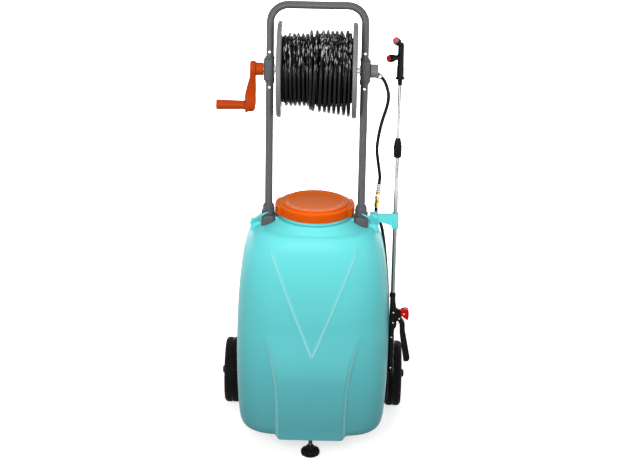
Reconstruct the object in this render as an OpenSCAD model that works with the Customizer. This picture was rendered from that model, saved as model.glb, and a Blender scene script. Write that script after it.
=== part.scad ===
// Battery trolley sprayer: a moulded tank on two wheels and a screw foot, with a
// tube handle, a hand-cranked hose reel and a telescopic spray lance in a clip.
// Millimetres. +Z is up, the front faces -Y. The origin is on the floor, under
// the middle of the whole machine.

/* [Tank] */
// Outside width of the tank at its widest
tank_w = 441; // [425:1:442]
// Depth of the tank in front of its widest section
tank_front = 174; // [160:1:185]
// Depth of the tank behind its widest section
tank_back = 155; // [140:1:165]
// Height of the deck's edge above the underside
tank_h = 612; // [590:1:622]
// Gap between the floor and the underside
tank_z = 68; // [62:1:74]
// Wall thickness of the moulding
tank_wall = 4; // [3:0.5:5]
// Thickness of the deck that carries the handle
deck_wall = 16; // [13:0.5:20]
// How far the lower front panel stands proud
panel_proud = 16; // [8:0.5:18]
// Half width of the lower front panel at the underside
panel_half = 97; // [80:1:110]
// How far the V on the upper front stands proud
vee_proud = 5; // [2:0.5:8]

/* [Filler] */
// Outside diameter of the filler neck
neck_d = 194; // [180:1:198]
// Wall thickness of the filler neck
neck_wall = 6; // [5:0.5:8]
// Height of the neck above the deck's ring
neck_h = 27; // [25:0.5:30]
// Gap all round between the neck and the lid's skirt
thread_gap = 3.5; // [3:0.1:4]
// Wall thickness of the lid
lid_wall = 6; // [5:0.5:7]
// Height of the lid
lid_h = 31; // [28:0.5:33]
// How far the lid's crown stands above its rim
lid_crown = 5; // [3:0.5:6]
// How far the lid's two finger wings reach past its skirt
lid_wing = 7; // [5:0.5:9]
// Depth of the strainer basket
strainer_h = 80; // [50:1:100]

/* [Handle] */
// Outside diameter of the frame tube
tube_d = 22; // [20:0.5:24]
// Wall thickness of the frame tube
tube_wall = 1.5; // [1.2:0.1:2]
// Distance between the two uprights
handle_gap = 262; // [256:1:268]
// Height of the handle's top bar above the reel's axis
handle_rise = 180; // [170:1:200]
// Radius of the bends in the top bar
handle_bend = 50; // [40:1:60]
// Backward lean of the handle, in degrees
handle_lean = 4; // [2:0.5:6]
// Width of a handle socket's foot
socket_w = 40; // [37:1:42]
// Depth of a handle socket's foot
socket_d = 46; // [42:1:48]
// Height of a handle socket's foot
socket_h = 36; // [30:1:37]
// Height of a handle socket's collar above its foot
collar_h = 30; // [20:1:36]
// Depth of the pockets in the deck that the sockets stand in
pocket_depth = 8; // [5:0.5:10]

/* [Reel] */
// Height of the reel's axis above the floor
reel_z = 1122; // [1100:1:1140]
// Diameter of the reel's flanges
flange_d = 266; // [255:1:275]
// Thickness of a flange's rim
flange_rim = 14; // [11:0.5:15]
// Distance between the two flanges
flange_gap = 194; // [190:1:198]
// Diameter of the drum under the hose
drum_d = 80; // [60:1:100]
// Outside diameter of the wound hose
wound_d = 217; // [200:1:222]
// Outside diameter of every hose
hose_d = 10; // [9:0.5:10.5]
// Turns of hose in the outer layer
hose_turns = 17; // [14:1:17]
// Diameter of the reel's shaft
shaft_d = 16; // [12:0.5:18]
// Outside diameter of the bushes that the shaft turns in
bush_d = 22; // [20:0.5:26]
// Height of a reel bracket
bracket_h = 61; // [54:1:70]
// Width of a reel bracket
bracket_w = 29; // [27:0.5:30]
// Depth of a reel bracket
bracket_d = 40; // [34:1:46]
// Length of the spigots that the brackets reach into the tubes
spigot_l = 62; // [58:1:70]

/* [Crank] */
// Distance from the reel's axis to the grip's axis
crank_r = 105; // [90:1:115]
// Diameter of the crank's hub
crank_hub_d = 36; // [30:1:40]
// Thickness of the crank's arm
crank_t = 17; // [14:0.5:20]
// Length of the turning grip
grip_l = 80; // [70:1:90]
// Diameter of the turning grip
grip_d = 28; // [24:1:32]
// Diameter of the pin that the grip turns on
grip_pin_d = 8; // [6:0.5:10]

/* [Wheels] */
// Diameter of the tyres
wheel_d = 200; // [190:1:205]
// Width of the tyres
tyre_w = 50; // [44:1:50]
// Diameter of the rims
rim_d = 140; // [120:1:150]
// Distance between the tyres' outer faces
track_w = 540; // [540:1:560]
// Diameter of the axle
axle_d = 16; // [12:0.5:18]
// Depth of the tread grooves
tread_depth = 4; // [2:0.5:6]
// Tread grooves round each tyre
tread_n = 24; // [16:1:30]

/* [Screw foot] */
// Diameter of the foot's stem
stem_d = 12; // [10:0.5:13]
// Diameter of the foot's pad
pad_d = 55; // [46:1:60]

/* [Pump housing] */
// Width of the housing behind the tank
housing_w = 272; // [260:1:280]
// Depth of the housing behind the tank
housing_d = 96; // [90:1:100]
// Height of the housing's top above the floor
housing_top = 300; // [290:1:340]
// Wall thickness of the housing
housing_wall = 3; // [2.5:0.5:4]
// Bore of the charging socket
charge_bore_d = 5.5; // [5:0.1:6]
// Length of the battery, across the housing
battery_l = 151; // [130:1:160]
// Depth of the battery
battery_d = 65; // [60:1:70]
// Height of the battery
battery_h = 94; // [80:1:98]
// Diameter of the pump's motor
motor_d = 46; // [36:1:50]

/* [Spray lance] */
// Outside diameter of the lower, fixed lance tube
outer_d = 12; // [11:0.5:13]
// Outside diameter of the upper, sliding lance tube
inner_d = 9; // [8:0.1:9.5]
// Wall thickness of the sliding tube
inner_wall = 1; // [0.8:0.1:1.5]
// Height of the gun's top above the floor
gun_top = 465; // [460:1:470]
// Length of the gun, from its top to the end of the grip
gun_l = 250; // [235:1:260]
// Height of the collet nut's lower end above the floor
nut_z = 879; // [860:1:890]
// Height of the collet nut
nut_h = 56; // [50:1:60]
// Outside diameter of the collet nut
nut_d = 22; // [20:0.5:24]
// Height of the sliding tube's upper end above the floor
head_z = 1089; // [1070:1:1095]
// How far the sliding tube reaches down into the fixed one, below the nut
engage_l = 180; // [170:1:200]
// Outside diameter of the gun's inlet thread
inlet_d = 13.16; // [12:0.01:14]
// Length of the gun's inlet thread
inlet_l = 12; // [10:1:14]

/* [Clearances] */
// Radial clearance of everything that turns on a pin, shaft or axle
run_gap = 0.05; // [0.03:0.01:0.09]
// Radial clearance of pieces that are fixed in each other
seat_gap = 0.05; // [0.03:0.01:0.1]
// Radial clearance of the two lance tubes
slide_gap = 0.04; // [0.02:0.01:0.05]
// Gap left between pieces that pass each other
pass_gap = 0.3; // [0.3:0.1:0.5]

/* [Hidden] */
$fn = 64;

LEFT = -1;
RIGHT = 1;

// ---- Places that more than one piece uses ----
tank_y = -60;                          // the tank's widest section
back_y = tank_y + tank_back - 3;       // flat back face of the tank
deck_z = tank_z + tank_h;              // edge of the deck
deck_rise = 20;                        // the deck climbs this much to the neck
ring_z = deck_z + deck_rise;           // flat ring round the neck
ring_r = neck_d/2 + 14;
filler_y = tank_y - 10;                // centre of neck and lid
neck_top = ring_z + neck_h;

gasket_h = 2;
lid_under = neck_top + pass_gap + gasket_h + pass_gap;
lid_bottom = lid_under + lid_wall + lid_crown - lid_h;
lid_in_r = neck_d/2 + thread_gap;
lid_r = lid_in_r + lid_wall;

reel_y = -62;
socket_z = deck_z - pocket_depth;      // floor of the pockets
socket_floor = 18;
upright_z = socket_z + socket_floor;   // lower end of the uprights
upright_foot = (reel_z - upright_z)/cos(handle_lean);
socket_y = reel_y - (reel_z - upright_z)*tan(handle_lean);
tube_in_r = tube_d/2 - tube_wall;
screw_z = bracket_h/2 + 19;            // frame screws, from the reel's axis
screw_d = 4;

bracket_in = handle_gap/2 - 12;        // inner face of a bracket, along X
bracket_out = bracket_in + bracket_w;
flange_in = flange_gap/2;
flange_out = flange_in + flange_rim;
bush_lip = 2;
hub_in = bracket_out + 1;              // inner face of the crank's hub
hub_l = 20;
arm_in = hub_in + hub_l;
arm_out = arm_in + crank_t;
crank_step = 14;                       // the arm's sideways step
grip_in = arm_out + crank_step + pass_gap;
grip_z = reel_z - crank_r;
shaft_left = arm_out - 5;              // end of the shaft inside the crank
swivel_l = 23;
shaft_right = bracket_out + swivel_l/2;

axle_y = 150;
axle_z = wheel_d/2;
wheel_out = track_w/2;
wheel_in = wheel_out - tyre_w;
boss_r = axle_d/2 + 8;
boss_end = wheel_in - 3;               // ends of the housing's axle arms
hub_gap = 1;
housing_back = back_y + housing_d;
housing_z = 25;
tunnel_h = 38;

foot_y = -205;
insert_r = stem_d/2 + 5;
insert_h = 28;
foot_boss_r = insert_r + 4;
foot_boss_h = insert_h + 20;

lance_x = tank_w/2 + 8.5;                // the lance passes just beside the tank
lance_y = -80;
holder_x = handle_gap/2 + socket_w/2 + 15;   // the shoulder bosses, beside the sockets
boss_w = 32;
boss_d = 36;
boss_z = deck_z + 4;                   // top of the shoulder bosses

// ---- Hose routes, chosen by hand ----
feed_exit = [178, -62, 1103.8];
feed_route = [feed_exit, [181.6, -62, 1101], [186.2, -61.5, 1094.8],
    [192, -60, 1082], [198, -58, 1062], [199.5, -56, 1043], [197, -53, 1023],
    [192, -50, 1002], [186.5, -46, 982], [179.5, -40, 950], [174, -34, 913],
    [172.5, -28, 880], [177, -20, 842], [182, -14, 808], [183.4, -11, 794],
    [182.8, -10, 786], [182, -10, 776]];
coupling_low = [176, -10, 702];
supply_route = [coupling_low, [175.2, -10, 692], [177, -9, 682], [182, -5, 667],
    [189, 1, 650], [195, 10, 628], [201, 18, 590], [206.5, 22, 545], [211, 25, 500],
    [215, 28, 455], [218, 30, 400], [220, 31, 350], [222, 31, 300], [223, 31, 250],
    [224, 31, 200], [224, 31, 160], [224, 31, 120], [224, 31, 95], [222.5, 32, 72],
    [218, 33, 60], [211, 34, 50], [201.5, 35, 43], [190.5, 36, 38.5], [179, 36, 37],
    [166, 36, 37], [152, 40, 37], [139.5, 48, 37], [131, 61, 37], [128, 76, 37],
    [128, 86, 37]];

// ---- Small functions ----
function unit(v) = v/norm(v);
function smooth(t) = let (c = min(1, max(0, t))) c*c*(3 - 2*c);
function tangent(p, i) = unit(p[min(i + 1, len(p) - 1)] - p[max(i - 1, 0)]);
function across(n, t) = unit(n - (n*t)*t);

// One ring of a swept tube: round about centre c, square to t
function tube_ring(c, t, n, r, sides) = let (m = cross(t, n))
    [for (k = [0:sides - 1]) c + r*(cos(360*k/sides)*n + sin(360*k/sides)*m)];

// Rings of a tube along a path, turned as little as possible from ring to ring
function tube_rings(p, r, sides, start) =
    [for (i = 0, t = tangent(p, 0), n = across(start, t); i < len(p);
        i = i + 1, t = tangent(p, min(i, len(p) - 1)), n = across(n, t))
        tube_ring(p[i], t, n, r, sides)];

// Triangles of a closed skin through rings of equal count
function skin_sides(rows, cols) = [for (j = [0:rows - 2], k = [0:cols - 1])
    let (a = j*cols + k, b = j*cols + (k + 1) % cols)
    each [[a, b + cols, b], [a, a + cols, b + cols]]];
function skin_foot(cols) = [for (k = [1:cols - 2]) [0, k, k + 1]];
function skin_head(rows, cols) = let (o = (rows - 1)*cols)
    [for (k = [1:cols - 2]) [o, o + k + 1, o + k]];

module skin(rings) {
    cols = len(rings[0]);
    rows = len(rings);
    polyhedron([for (ring = rings) each ring],
        concat(skin_sides(rows, cols), skin_foot(cols), skin_head(rows, cols)));
}

module hose(route, sides) {
    color([0.08, 0.08, 0.09]) skin(tube_rings(route, hose_d/2, sides, [0, 1, 0]));
}

// A cylinder along +X or -X
module x_rod(x0, x1, r) {
    translate([min(x0, x1), 0, 0]) rotate([0, 90, 0]) cylinder(h = abs(x1 - x0), r = r);
}

// The handle's own frame: origin on the reel's axis, Z along the uprights
module leaned() {
    translate([0, reel_y, reel_z]) rotate([-handle_lean, 0, 0]) children();
}

module at_reel() {
    translate([0, reel_y, reel_z]) children();
}

module box(x0, x1, y0, y1, z0, z1) {
    translate([min(x0, x1), y0, z0]) cube([abs(x1 - x0), y1 - y0, z1 - z0]);
}

// A box with round upright edges
module soft_box(x0, x1, y0, y1, z0, z1, r) {
    translate([0, 0, z0]) linear_extrude(z1 - z0) {
        translate([x0 + r, y0]) square([x1 - x0 - 2*r, y1 - y0]);
        translate([x0, y0 + r]) square([x1 - x0, y1 - y0 - 2*r]);
        for (x = [x0 + r, x1 - r], y = [y0 + r, y1 - r])
            translate([x, y]) circle(r);
    }
}

// ---- Tank ----
// Height share, then half width, front depth and back depth as shares
tank_rows = [[0, 0.8, 0.885, 0.84], [0.006, 0.863, 0.93, 0.9],
    [0.019, 0.915, 0.96, 0.94], [0.041, 0.946, 0.98, 0.97],
    [0.079, 0.965, 0.988, 0.985], [0.143, 0.978, 0.995, 0.99],
    [0.27, 0.995, 1, 1], [0.397, 1, 1, 1], [0.516, 0.995, 1, 1],
    [0.635, 0.98, 0.99, 0.99], [0.746, 0.954, 0.975, 0.975],
    [0.825, 0.926, 0.96, 0.96], [0.889, 0.892, 0.942, 0.94],
    [0.929, 0.858, 0.925, 0.92], [0.96, 0.818, 0.905, 0.89],
    [0.981, 0.769, 0.88, 0.85], [0.994, 0.71, 0.845, 0.8], [1, 0.63, 0.79, 0.73]];
tank_steps = 25;
tank_levels = concat([0, 0.006, 0.019, 0.041, 0.079],
    [for (i = [0:tank_steps]) 0.11 + 0.79*i/tank_steps], [0.929, 0.96, 0.981, 0.994, 1]);
cavity_levels = [0.0, 0.03, 0.1, 0.25, 0.4, 0.55, 0.7, 0.8, 0.88, 0.94, 1];
tank_n = 3;                            // squareness of the tank in plan
low_n = 4.5;                           // and of its front, low down
vee_low = 0.478;                       // height share of the V's point
vee_high = 0.98;
vee_half = 130;                        // half width of the V at its top
crease = 12;                           // width of the slope along a raised edge

function row_at(t, k) = lookup(t, [for (row = tank_rows) [row[0], row[k]]]);

// Outer radius at angle a of the section at height share t, less a wall
function plan_r(a, t, wall) = let (
        front = sin(a) < 0,
        w = tank_w/2*row_at(t, 1) - wall,
        d = (front ? tank_front*row_at(t, 2) : tank_back*row_at(t, 3)) - wall,
        n = front ? low_n + (tank_n - low_n)*min(1, max(0, 2*t - 0.1)) : tank_n)
    pow(pow(abs(cos(a))/w, n) + pow(abs(sin(a))/d, n), -1/n);

// Half width of the lower panel: it flares towards its top
function panel_edge(t) = panel_half + 45*pow(min(1, max(0, t/0.54)), 3);
function panel_fade(t) = 1 - smooth((t - 0.3)/0.25);
function vee_edge(t) = vee_half*pow(max(0, (t - vee_low)/(vee_high - vee_low)), 0.95);
function vee_fade(t) = smooth((t - vee_low)/0.06)*(1 - smooth((t - 0.93)/0.06));
// The panel runs straight down past the tank's rounded lower edge
function panel_at(t) = panel_proud + tank_front*max(0, row_at(0.041, 2) - row_at(t, 2));
function front_relief(x, t) =
    panel_at(t)*panel_fade(t)*smooth((panel_edge(t) - abs(x))/crease + 0.5)
    + vee_proud*vee_fade(t)*smooth((vee_edge(t) - abs(x))/crease + 0.5);

function tank_point(a, t) = let (
        r = plan_r(a, t, 0),
        x = r*cos(a), y = r*sin(a),
        relief = front_relief(x, t)*smooth(-y/tank_front*2.5 - 0.5))
    [x, min(back_y, tank_y + y - relief), tank_z + tank_h*t];

function tank_ring(t) = [for (k = [0:71]) tank_point(5*k, t)];

// The deck climbs from its edge to a flat ring round the neck
function deck_ring(s) = [for (k = [0:71]) let (
        edge = tank_point(5*k, 1), ring = [ring_r*cos(5*k), filler_y + ring_r*sin(5*k), ring_z])
    edge + (ring - edge)*s + [0, 0, -6*s*(1 - s)]];

// The cavity lies a wall inside the outside, seen sideways and along Z
function cavity_point(a, t) = let (
        z = tank_wall + (tank_h - tank_wall - deck_wall)*t,
        r = plan_r(a, (z + (t < 0.5 ? -1 : 1)*tank_wall)/tank_h, tank_wall))
    [r*cos(a), min(back_y - tank_wall, tank_y + r*sin(a)), tank_z + z];

module tank_outer() {
    skin(concat([for (t = tank_levels) tank_ring(t)], [deck_ring(0.5), deck_ring(1)]));
}

module tank_cavity() {
    difference() {
        skin([for (t = cavity_levels) [for (k = [0:35]) cavity_point(10*k, t)]]);
        translate([0, foot_y, tank_z]) cylinder(h = foot_boss_h, r = foot_boss_r);
    }
}

module socket_pocket(side) {
    box(side*handle_gap/2 - socket_w/2 - pass_gap, side*handle_gap/2 + socket_w/2 + pass_gap,
        socket_y - socket_d/2 - pass_gap, socket_y + socket_d/2 + pass_gap,
        socket_z, ring_z + 5);
}

module shoulder_boss(side) {
    box(side*holder_x - boss_w/2, side*holder_x + boss_w/2,
        lance_y - boss_d/2, lance_y + boss_d/2, deck_z - 40, boss_z);
}

module tank() {
    color([0.45, 0.89, 0.89]) difference() {
        union() {
            tank_outer();
            translate([0, filler_y, ring_z - 10])
                cylinder(h = neck_top - ring_z + 10, r = neck_d/2, $fn = 96);
            for (side = [LEFT, RIGHT]) shoulder_boss(side);
        }
        tank_cavity();
        translate([0, filler_y, deck_z - deck_wall - 10])
            cylinder(h = neck_h + deck_rise + deck_wall + 20, r = neck_d/2 - neck_wall, $fn = 96);
        for (side = [LEFT, RIGHT]) socket_pocket(side);
        translate([0, foot_y, tank_z - 1])
            cylinder(h = insert_h + 1, r = insert_r + seat_gap);
        translate([0, foot_y, tank_z - 1])
            cylinder(h = foot_boss_h - 3, r = stem_d/2 + pass_gap);
    }
}

// Basket that hangs on the neck's rim, inside it
module filler_strainer() {
    r = neck_d/2 - neck_wall - pass_gap;
    lip = 1.5;
    color([0.2, 0.2, 0.2]) translate([0, filler_y, neck_top - 1 - strainer_h]) difference() {
        cylinder(h = strainer_h, r1 = r - 8, r2 = r);
        translate([0, 0, lip]) cylinder(h = strainer_h, r1 = r - 8 - lip, r2 = r - lip);
    }
}

// ---- Lid ----
module lid() {
    rim_h = lid_h - lid_crown;
    crown_r = lid_r - 12;
    color([0.9, 0.38, 0.1]) translate([0, filler_y, lid_bottom]) difference() {
        union() {
            rotate_extrude($fn = 96) polygon([[0, 0], [lid_r, 0], [lid_r, rim_h - 4],
                [lid_r - 4, rim_h], [crown_r, rim_h], [crown_r, lid_h - 2], [crown_r - 2, lid_h],
                [crown_r - 12, lid_h], [crown_r - 18, lid_h - 3], [0, lid_h - 3]]);
            for (turn = [0, 180]) rotate([0, 0, turn - 28])
                rotate_extrude(angle = 56, $fn = 96) translate([lid_r - 2, 0])
                    square([lid_wing + 2, rim_h - 2]);
        }
        translate([0, 0, -1]) cylinder(h = lid_under - lid_bottom + 1, r = lid_in_r, $fn = 96);
    }
}

module lid_gasket() {
    color([0.15, 0.15, 0.15]) translate([0, filler_y, neck_top + pass_gap]) difference() {
        cylinder(h = gasket_h, r = neck_d/2, $fn = 96);
        translate([0, 0, -1]) cylinder(h = gasket_h + 2, r = neck_d/2 - neck_wall, $fn = 96);
    }
}

// ---- Handle ----
module upright(side) {
    l = upright_foot - bracket_h/2;
    color([0.42, 0.42, 0.43]) leaned() translate([side*handle_gap/2, 0, -upright_foot])
        difference() {
            cylinder(h = l, r = tube_d/2);
            translate([0, 0, -1]) cylinder(h = l + 2, r = tube_in_r);
            translate([0, 0, upright_foot - screw_z]) rotate([90, 0, 0])
                cylinder(h = tube_d, r = screw_d/2 + seat_gap);
        }
}

// Legs, bends and top bar of the handle at tube radius r
module handle_path(r) {
    leg = handle_rise - handle_bend - bracket_h/2;
    for (side = [LEFT, RIGHT]) {
        translate([side*handle_gap/2, 0, bracket_h/2]) cylinder(h = leg, r = r);
        translate([side*(handle_gap/2 - handle_bend), 0, handle_rise - handle_bend])
            rotate([90, 0, 0]) rotate([0, 0, side > 0 ? 0 : 90])
                rotate_extrude(angle = 90) translate([handle_bend, 0]) circle(r);
    }
    translate([0, 0, handle_rise]) x_rod(-handle_gap/2 + handle_bend, handle_gap/2 - handle_bend, r);
}

module handle_bar() {
    color([0.42, 0.42, 0.43]) leaned() difference() {
        handle_path(tube_d/2);
        handle_path(tube_in_r);
        for (side = [LEFT, RIGHT]) {
            translate([side*handle_gap/2, 0, bracket_h/2 - 1])
                cylinder(h = 2, r = tube_in_r);
            translate([side*handle_gap/2, 0, screw_z]) rotate([90, 0, 0])
                cylinder(h = tube_d, r = screw_d/2 + seat_gap);
        }
    }
}

module handle_socket(side) {
    x = side*handle_gap/2;
    collar_r = tube_d/2 + 5.5;
    collar_top = upright_foot - (socket_h - socket_floor + collar_h);
    color([0.36, 0.36, 0.38]) difference() {
        union() {
            soft_box(x - socket_w/2, x + socket_w/2, socket_y - socket_d/2,
                socket_y + socket_d/2, socket_z, socket_z + socket_h, 6);
            leaned() translate([x, 0, -upright_foot]) {
                cylinder(h = upright_foot - collar_top - 8, r = collar_r);
                translate([0, 0, upright_foot - collar_top - 8])
                    cylinder(h = 8, r1 = collar_r, r2 = collar_r - 4);
            }
        }
        leaned() translate([x, 0, -upright_foot])
            cylinder(h = upright_foot, r = tube_d/2 + seat_gap);
    }
}

// ---- Reel stand ----
module reel_bracket(side) {
    color([0.45, 0.45, 0.46]) difference() {
        leaned() union() {
            x0 = side > 0 ? bracket_in : -bracket_out;
            soft_box(x0, x0 + bracket_w, -bracket_d/2, bracket_d/2, -bracket_h/2, bracket_h/2, 8);
            translate([side*handle_gap/2, 0, -bracket_h/2 - spigot_l])
                cylinder(h = bracket_h + 2*spigot_l, r = tube_in_r - seat_gap);
        }
        at_reel() x_rod(side*(bracket_in - 1), side*(bracket_out + 1), bush_d/2 + seat_gap);
        leaned() for (z = [-screw_z, screw_z]) translate([side*handle_gap/2, 0, z])
            rotate([90, 0, 0]) cylinder(h = tube_d, r = screw_d/2 + seat_gap);
    }
}

// Four screws through the tubes into the brackets' spigots
module frame_screws() {
    head_r = 4.5;
    color([0.8, 0.8, 0.8]) leaned() for (side = [LEFT, RIGHT], z = [-screw_z, screw_z])
        translate([side*handle_gap/2, -tube_d/2 + 0.2, z]) rotate([90, 0, 0]) union() {
            translate([0, 0, -8]) cylinder(h = 8.5, r = screw_d/2);
            intersection() {
                translate([0, 0, 0.3]) cylinder(h = 3, r = head_r);
                translate([0, 0, -3.5]) sphere(r = 6.5);
            }
        }
}

module reel_bush(side) {
    color([0.9, 0.9, 0.88]) at_reel() difference() {
        union() {
            x_rod(side*bracket_in, side*bracket_out, bush_d/2);
            x_rod(side*(bracket_in - bush_lip), side*bracket_in, bush_d/2 + 3);
        }
        x_rod(side*(bracket_in - bush_lip - 1), side*(bracket_out + 1), shaft_d/2 + run_gap);
    }
}

// Housing of the turning joint that feeds the reel, with its hose tail
module swivel_inlet() {
    r = 19;
    tail_l = 24;
    turn = 90 + atan2(3.1, 4);
    color([0.62, 0.62, 0.62]) difference() {
        union() {
            at_reel() x_rod(bracket_out, bracket_out + swivel_l - 2, r);
            at_reel() translate([bracket_out + swivel_l - 2, 0, 0]) rotate([0, 90, 0])
                cylinder(h = 2, r1 = r, r2 = r - 2);
            translate(feed_exit) rotate([0, turn, 0]) translate([0, 0, -tail_l])
                cylinder(h = tail_l, r = hose_d/2 + 2);
        }
        at_reel() x_rod(bracket_out - 1, shaft_right + 1, shaft_d/2 + pass_gap);
    }
}

module feed_hose() {
    hose(feed_route, 10);
}

// ---- Hose coupling beside the tank ----
coupling_top = feed_route[len(feed_route) - 1];
coupling_l = norm(coupling_top - coupling_low);
coupling_tilt = atan2(coupling_top[0] - coupling_low[0], coupling_top[2] - coupling_low[2]);
ferrule_l = 27;
sleeve_z = 26;                         // lower end of the sliding sleeve
sleeve_l = 14;
sleeve_r = 8.5;
spigot_r = 6.5;

module coupling() {
    translate(coupling_low) rotate([0, coupling_tilt, 0]) children();
}

module hose_ferrule() {
    ribs = 5;
    color([0.75, 0.75, 0.74]) coupling() translate([0, 0, coupling_l - ferrule_l]) union() {
        cylinder(h = ferrule_l, r = hose_d/2 + 1);
        for (i = [0:ribs - 1]) translate([0, 0, 2 + i*(ferrule_l - 4)/ribs])
            cylinder(h = 3.2, r = hose_d/2 + 2);
    }
}

module coupler_body() {
    color([0.8, 0.62, 0.25]) coupling() union() {
        cylinder(h = 5, r = spigot_r);
        translate([0, 0, 5]) cylinder(h = 11, r = 8.6, $fn = 6);
        translate([0, 0, 16]) cylinder(h = 5, r = 7.5);
        translate([0, 0, 21]) cylinder(h = coupling_l - ferrule_l - 21, r = spigot_r);
    }
}

// Sleeve that is drawn back to let the plug go
module coupler_sleeve() {
    color([0.85, 0.8, 0.65]) coupling() translate([0, 0, sleeve_z]) difference() {
        union() {
            cylinder(h = sleeve_l, r = sleeve_r);
            translate([0, 0, sleeve_l - 4]) cylinder(h = 4, r = sleeve_r + 1);
        }
        translate([0, 0, -1]) cylinder(h = sleeve_l + 2, r = spigot_r + run_gap);
    }
}

module supply_hose() {
    hose(supply_route, 10);
}

module hose_port() {
    end = supply_route[len(supply_route) - 1];
    color([0.3, 0.3, 0.3]) translate(end) rotate([-90, 0, 0])
        cylinder(h = back_y - end[1], r = hose_d/2 + 3);
}

// ---- Lance holder ----
module lance_holder() {
    base_x0 = holder_x - 10;
    base_x1 = holder_x + 12;
    clip_r = outer_d/2 + pass_gap;
    clip_wall = 3.5;
    clip_z0 = deck_z - 14;
    clip_z1 = deck_z + 32;
    clip_x1 = lance_x + clip_r + 3;
    arm_y = 7;
    color([0.45, 0.89, 0.89]) difference() {
        union() {
            soft_box(base_x0, base_x1, lance_y - boss_d/2 + 2, lance_y + boss_d/2 - 2,
                boss_z, deck_z + 30, 5);
            translate([0, lance_y + arm_y, 0]) rotate([90, 0, 0]) linear_extrude(2*arm_y)
                polygon([[base_x1 - 3, deck_z + 9], [lance_x - 8, deck_z - 6],
                    [lance_x - 8, deck_z + 28], [base_x1 - 3, deck_z + 27]]);
            box(lance_x - clip_r - clip_wall, clip_x1, lance_y - clip_r - clip_wall,
                lance_y + clip_r + clip_wall, clip_z0, clip_z1);
        }
        translate([lance_x, lance_y, clip_z0 - 1])
            cylinder(h = clip_z1 - clip_z0 + 2, r = clip_r);
        box(lance_x, clip_x1 + 1, lance_y - clip_r, lance_y + clip_r, clip_z0 - 1, clip_z1 + 1);
    }
}

// ---- Pump housing behind the tank, and what it holds ----
tunnel_z0 = axle_z - tunnel_h/2;
tunnel_z1 = axle_z + tunnel_h/2;
switch_x = 70;
switch_z = housing_top - 45;
charge_x = -70;
switch_w = 14;
switch_h = 22;
charge_r = 6;

module pump_housing() {
    half = housing_w/2;
    in_half = half - housing_wall;
    y0 = back_y + housing_wall;
    y1 = housing_back - housing_wall;
    color([0.16, 0.16, 0.17]) difference() {
        soft_box(-half, half, back_y, housing_back, housing_z, housing_top, 14);
        box(-in_half, in_half, y0 + 11, y1 - 11, tunnel_z1, housing_top - housing_wall);
        box(-in_half + 11, in_half - 11, y0, y1, tunnel_z1, housing_top - housing_wall);
        box(-in_half + 11, in_half - 11, y0, y1, housing_z + housing_wall, tunnel_z0);
        translate([0, axle_y, axle_z]) x_rod(-boss_end - 1, boss_end + 1, axle_d/2 + seat_gap);
        box(switch_x - switch_w/2 - pass_gap, switch_x + switch_w/2 + pass_gap, y1 - 1,
            housing_back + 1, switch_z - switch_h/2 - 2, switch_z + switch_h/2 + 2);
        translate([charge_x, y1 - 1, switch_z]) rotate([-90, 0, 0])
            cylinder(h = housing_wall + 2, r = charge_r + seat_gap);
    }
}

// Arm beside the housing that carries the axle out to a wheel
module axle_arm(side) {
    color([0.16, 0.16, 0.17]) translate([0, axle_y, axle_z]) difference() {
        x_rod(side*housing_w/2, side*boss_end, boss_r);
        x_rod(side*(housing_w/2 - 1), side*(boss_end + 1), axle_d/2 + seat_gap);
    }
}

housing_in = housing_w/2 - housing_wall - 11;

module battery() {
    color([0.1, 0.1, 0.1])
        box(-housing_in, battery_l - housing_in, back_y + housing_wall,
            back_y + housing_wall + battery_d, tunnel_z1, tunnel_z1 + battery_h);
}

pump_z = tunnel_z1 + battery_h + 36;
pump_y = back_y + housing_wall + 30;

module pump_head() {
    color([0.2, 0.2, 0.22])
        box(12, 72, back_y + housing_wall, pump_y + 28, pump_z - 28, pump_z + 30);
}

module pump_motor() {
    color([0.7, 0.7, 0.7]) translate([0, pump_y, pump_z]) x_rod(-72, 12, motor_d/2);
}

// Socket for the charger's plug: a flange, a body and a blind bore
module charge_socket() {
    color([0.12, 0.12, 0.12]) translate([charge_x, housing_back, switch_z]) rotate([-90, 0, 0])
        difference() {
            union() {
                translate([0, 0, -16]) cylinder(h = 16, r = charge_r);
                cylinder(h = 2, r = charge_r + 3);
            }
            translate([0, 0, -10]) cylinder(h = 13, r = charge_bore_d/2);
        }
}

// Rocker of the power switch: it tips about the pin in its bore
module power_switch() {
    color([0.75, 0.1, 0.08]) translate([switch_x, housing_back - housing_wall/2, switch_z])
        difference() {
            rotate([0, -90, 0]) translate([0, 0, -switch_w/2]) linear_extrude(switch_w)
                polygon([[-switch_h/2, 2], [-3, 0.5], [switch_h/2 - 1, 5.5],
                    [switch_h/2 - 1, -1], [2, -5], [-2, -5], [-switch_h/2, -1]]);
            translate([0, -2.2, 0]) x_rod(-switch_w, switch_w, 1.2);
        }
}

// ---- Axle and wheels ----
axle_end = wheel_out + 6;
cap_in = wheel_out - 8;

module axle() {
    color([0.75, 0.75, 0.75]) translate([0, axle_y, axle_z]) x_rod(-axle_end, axle_end, axle_d/2);
}

// Push-on caps that keep the wheels on
module axle_caps() {
    r = axle_d/2 + 6;
    color([0.15, 0.15, 0.15]) for (side = [LEFT, RIGHT])
        translate([0, axle_y, axle_z]) difference() {
            union() {
                x_rod(side*(cap_in + hub_gap), side*(axle_end + 1), r);
                x_rod(side*(axle_end + 1), side*(axle_end + 3), r - 3);
            }
            x_rod(side*cap_in, side*axle_end, axle_d/2 + seat_gap);
        }
}

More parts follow.
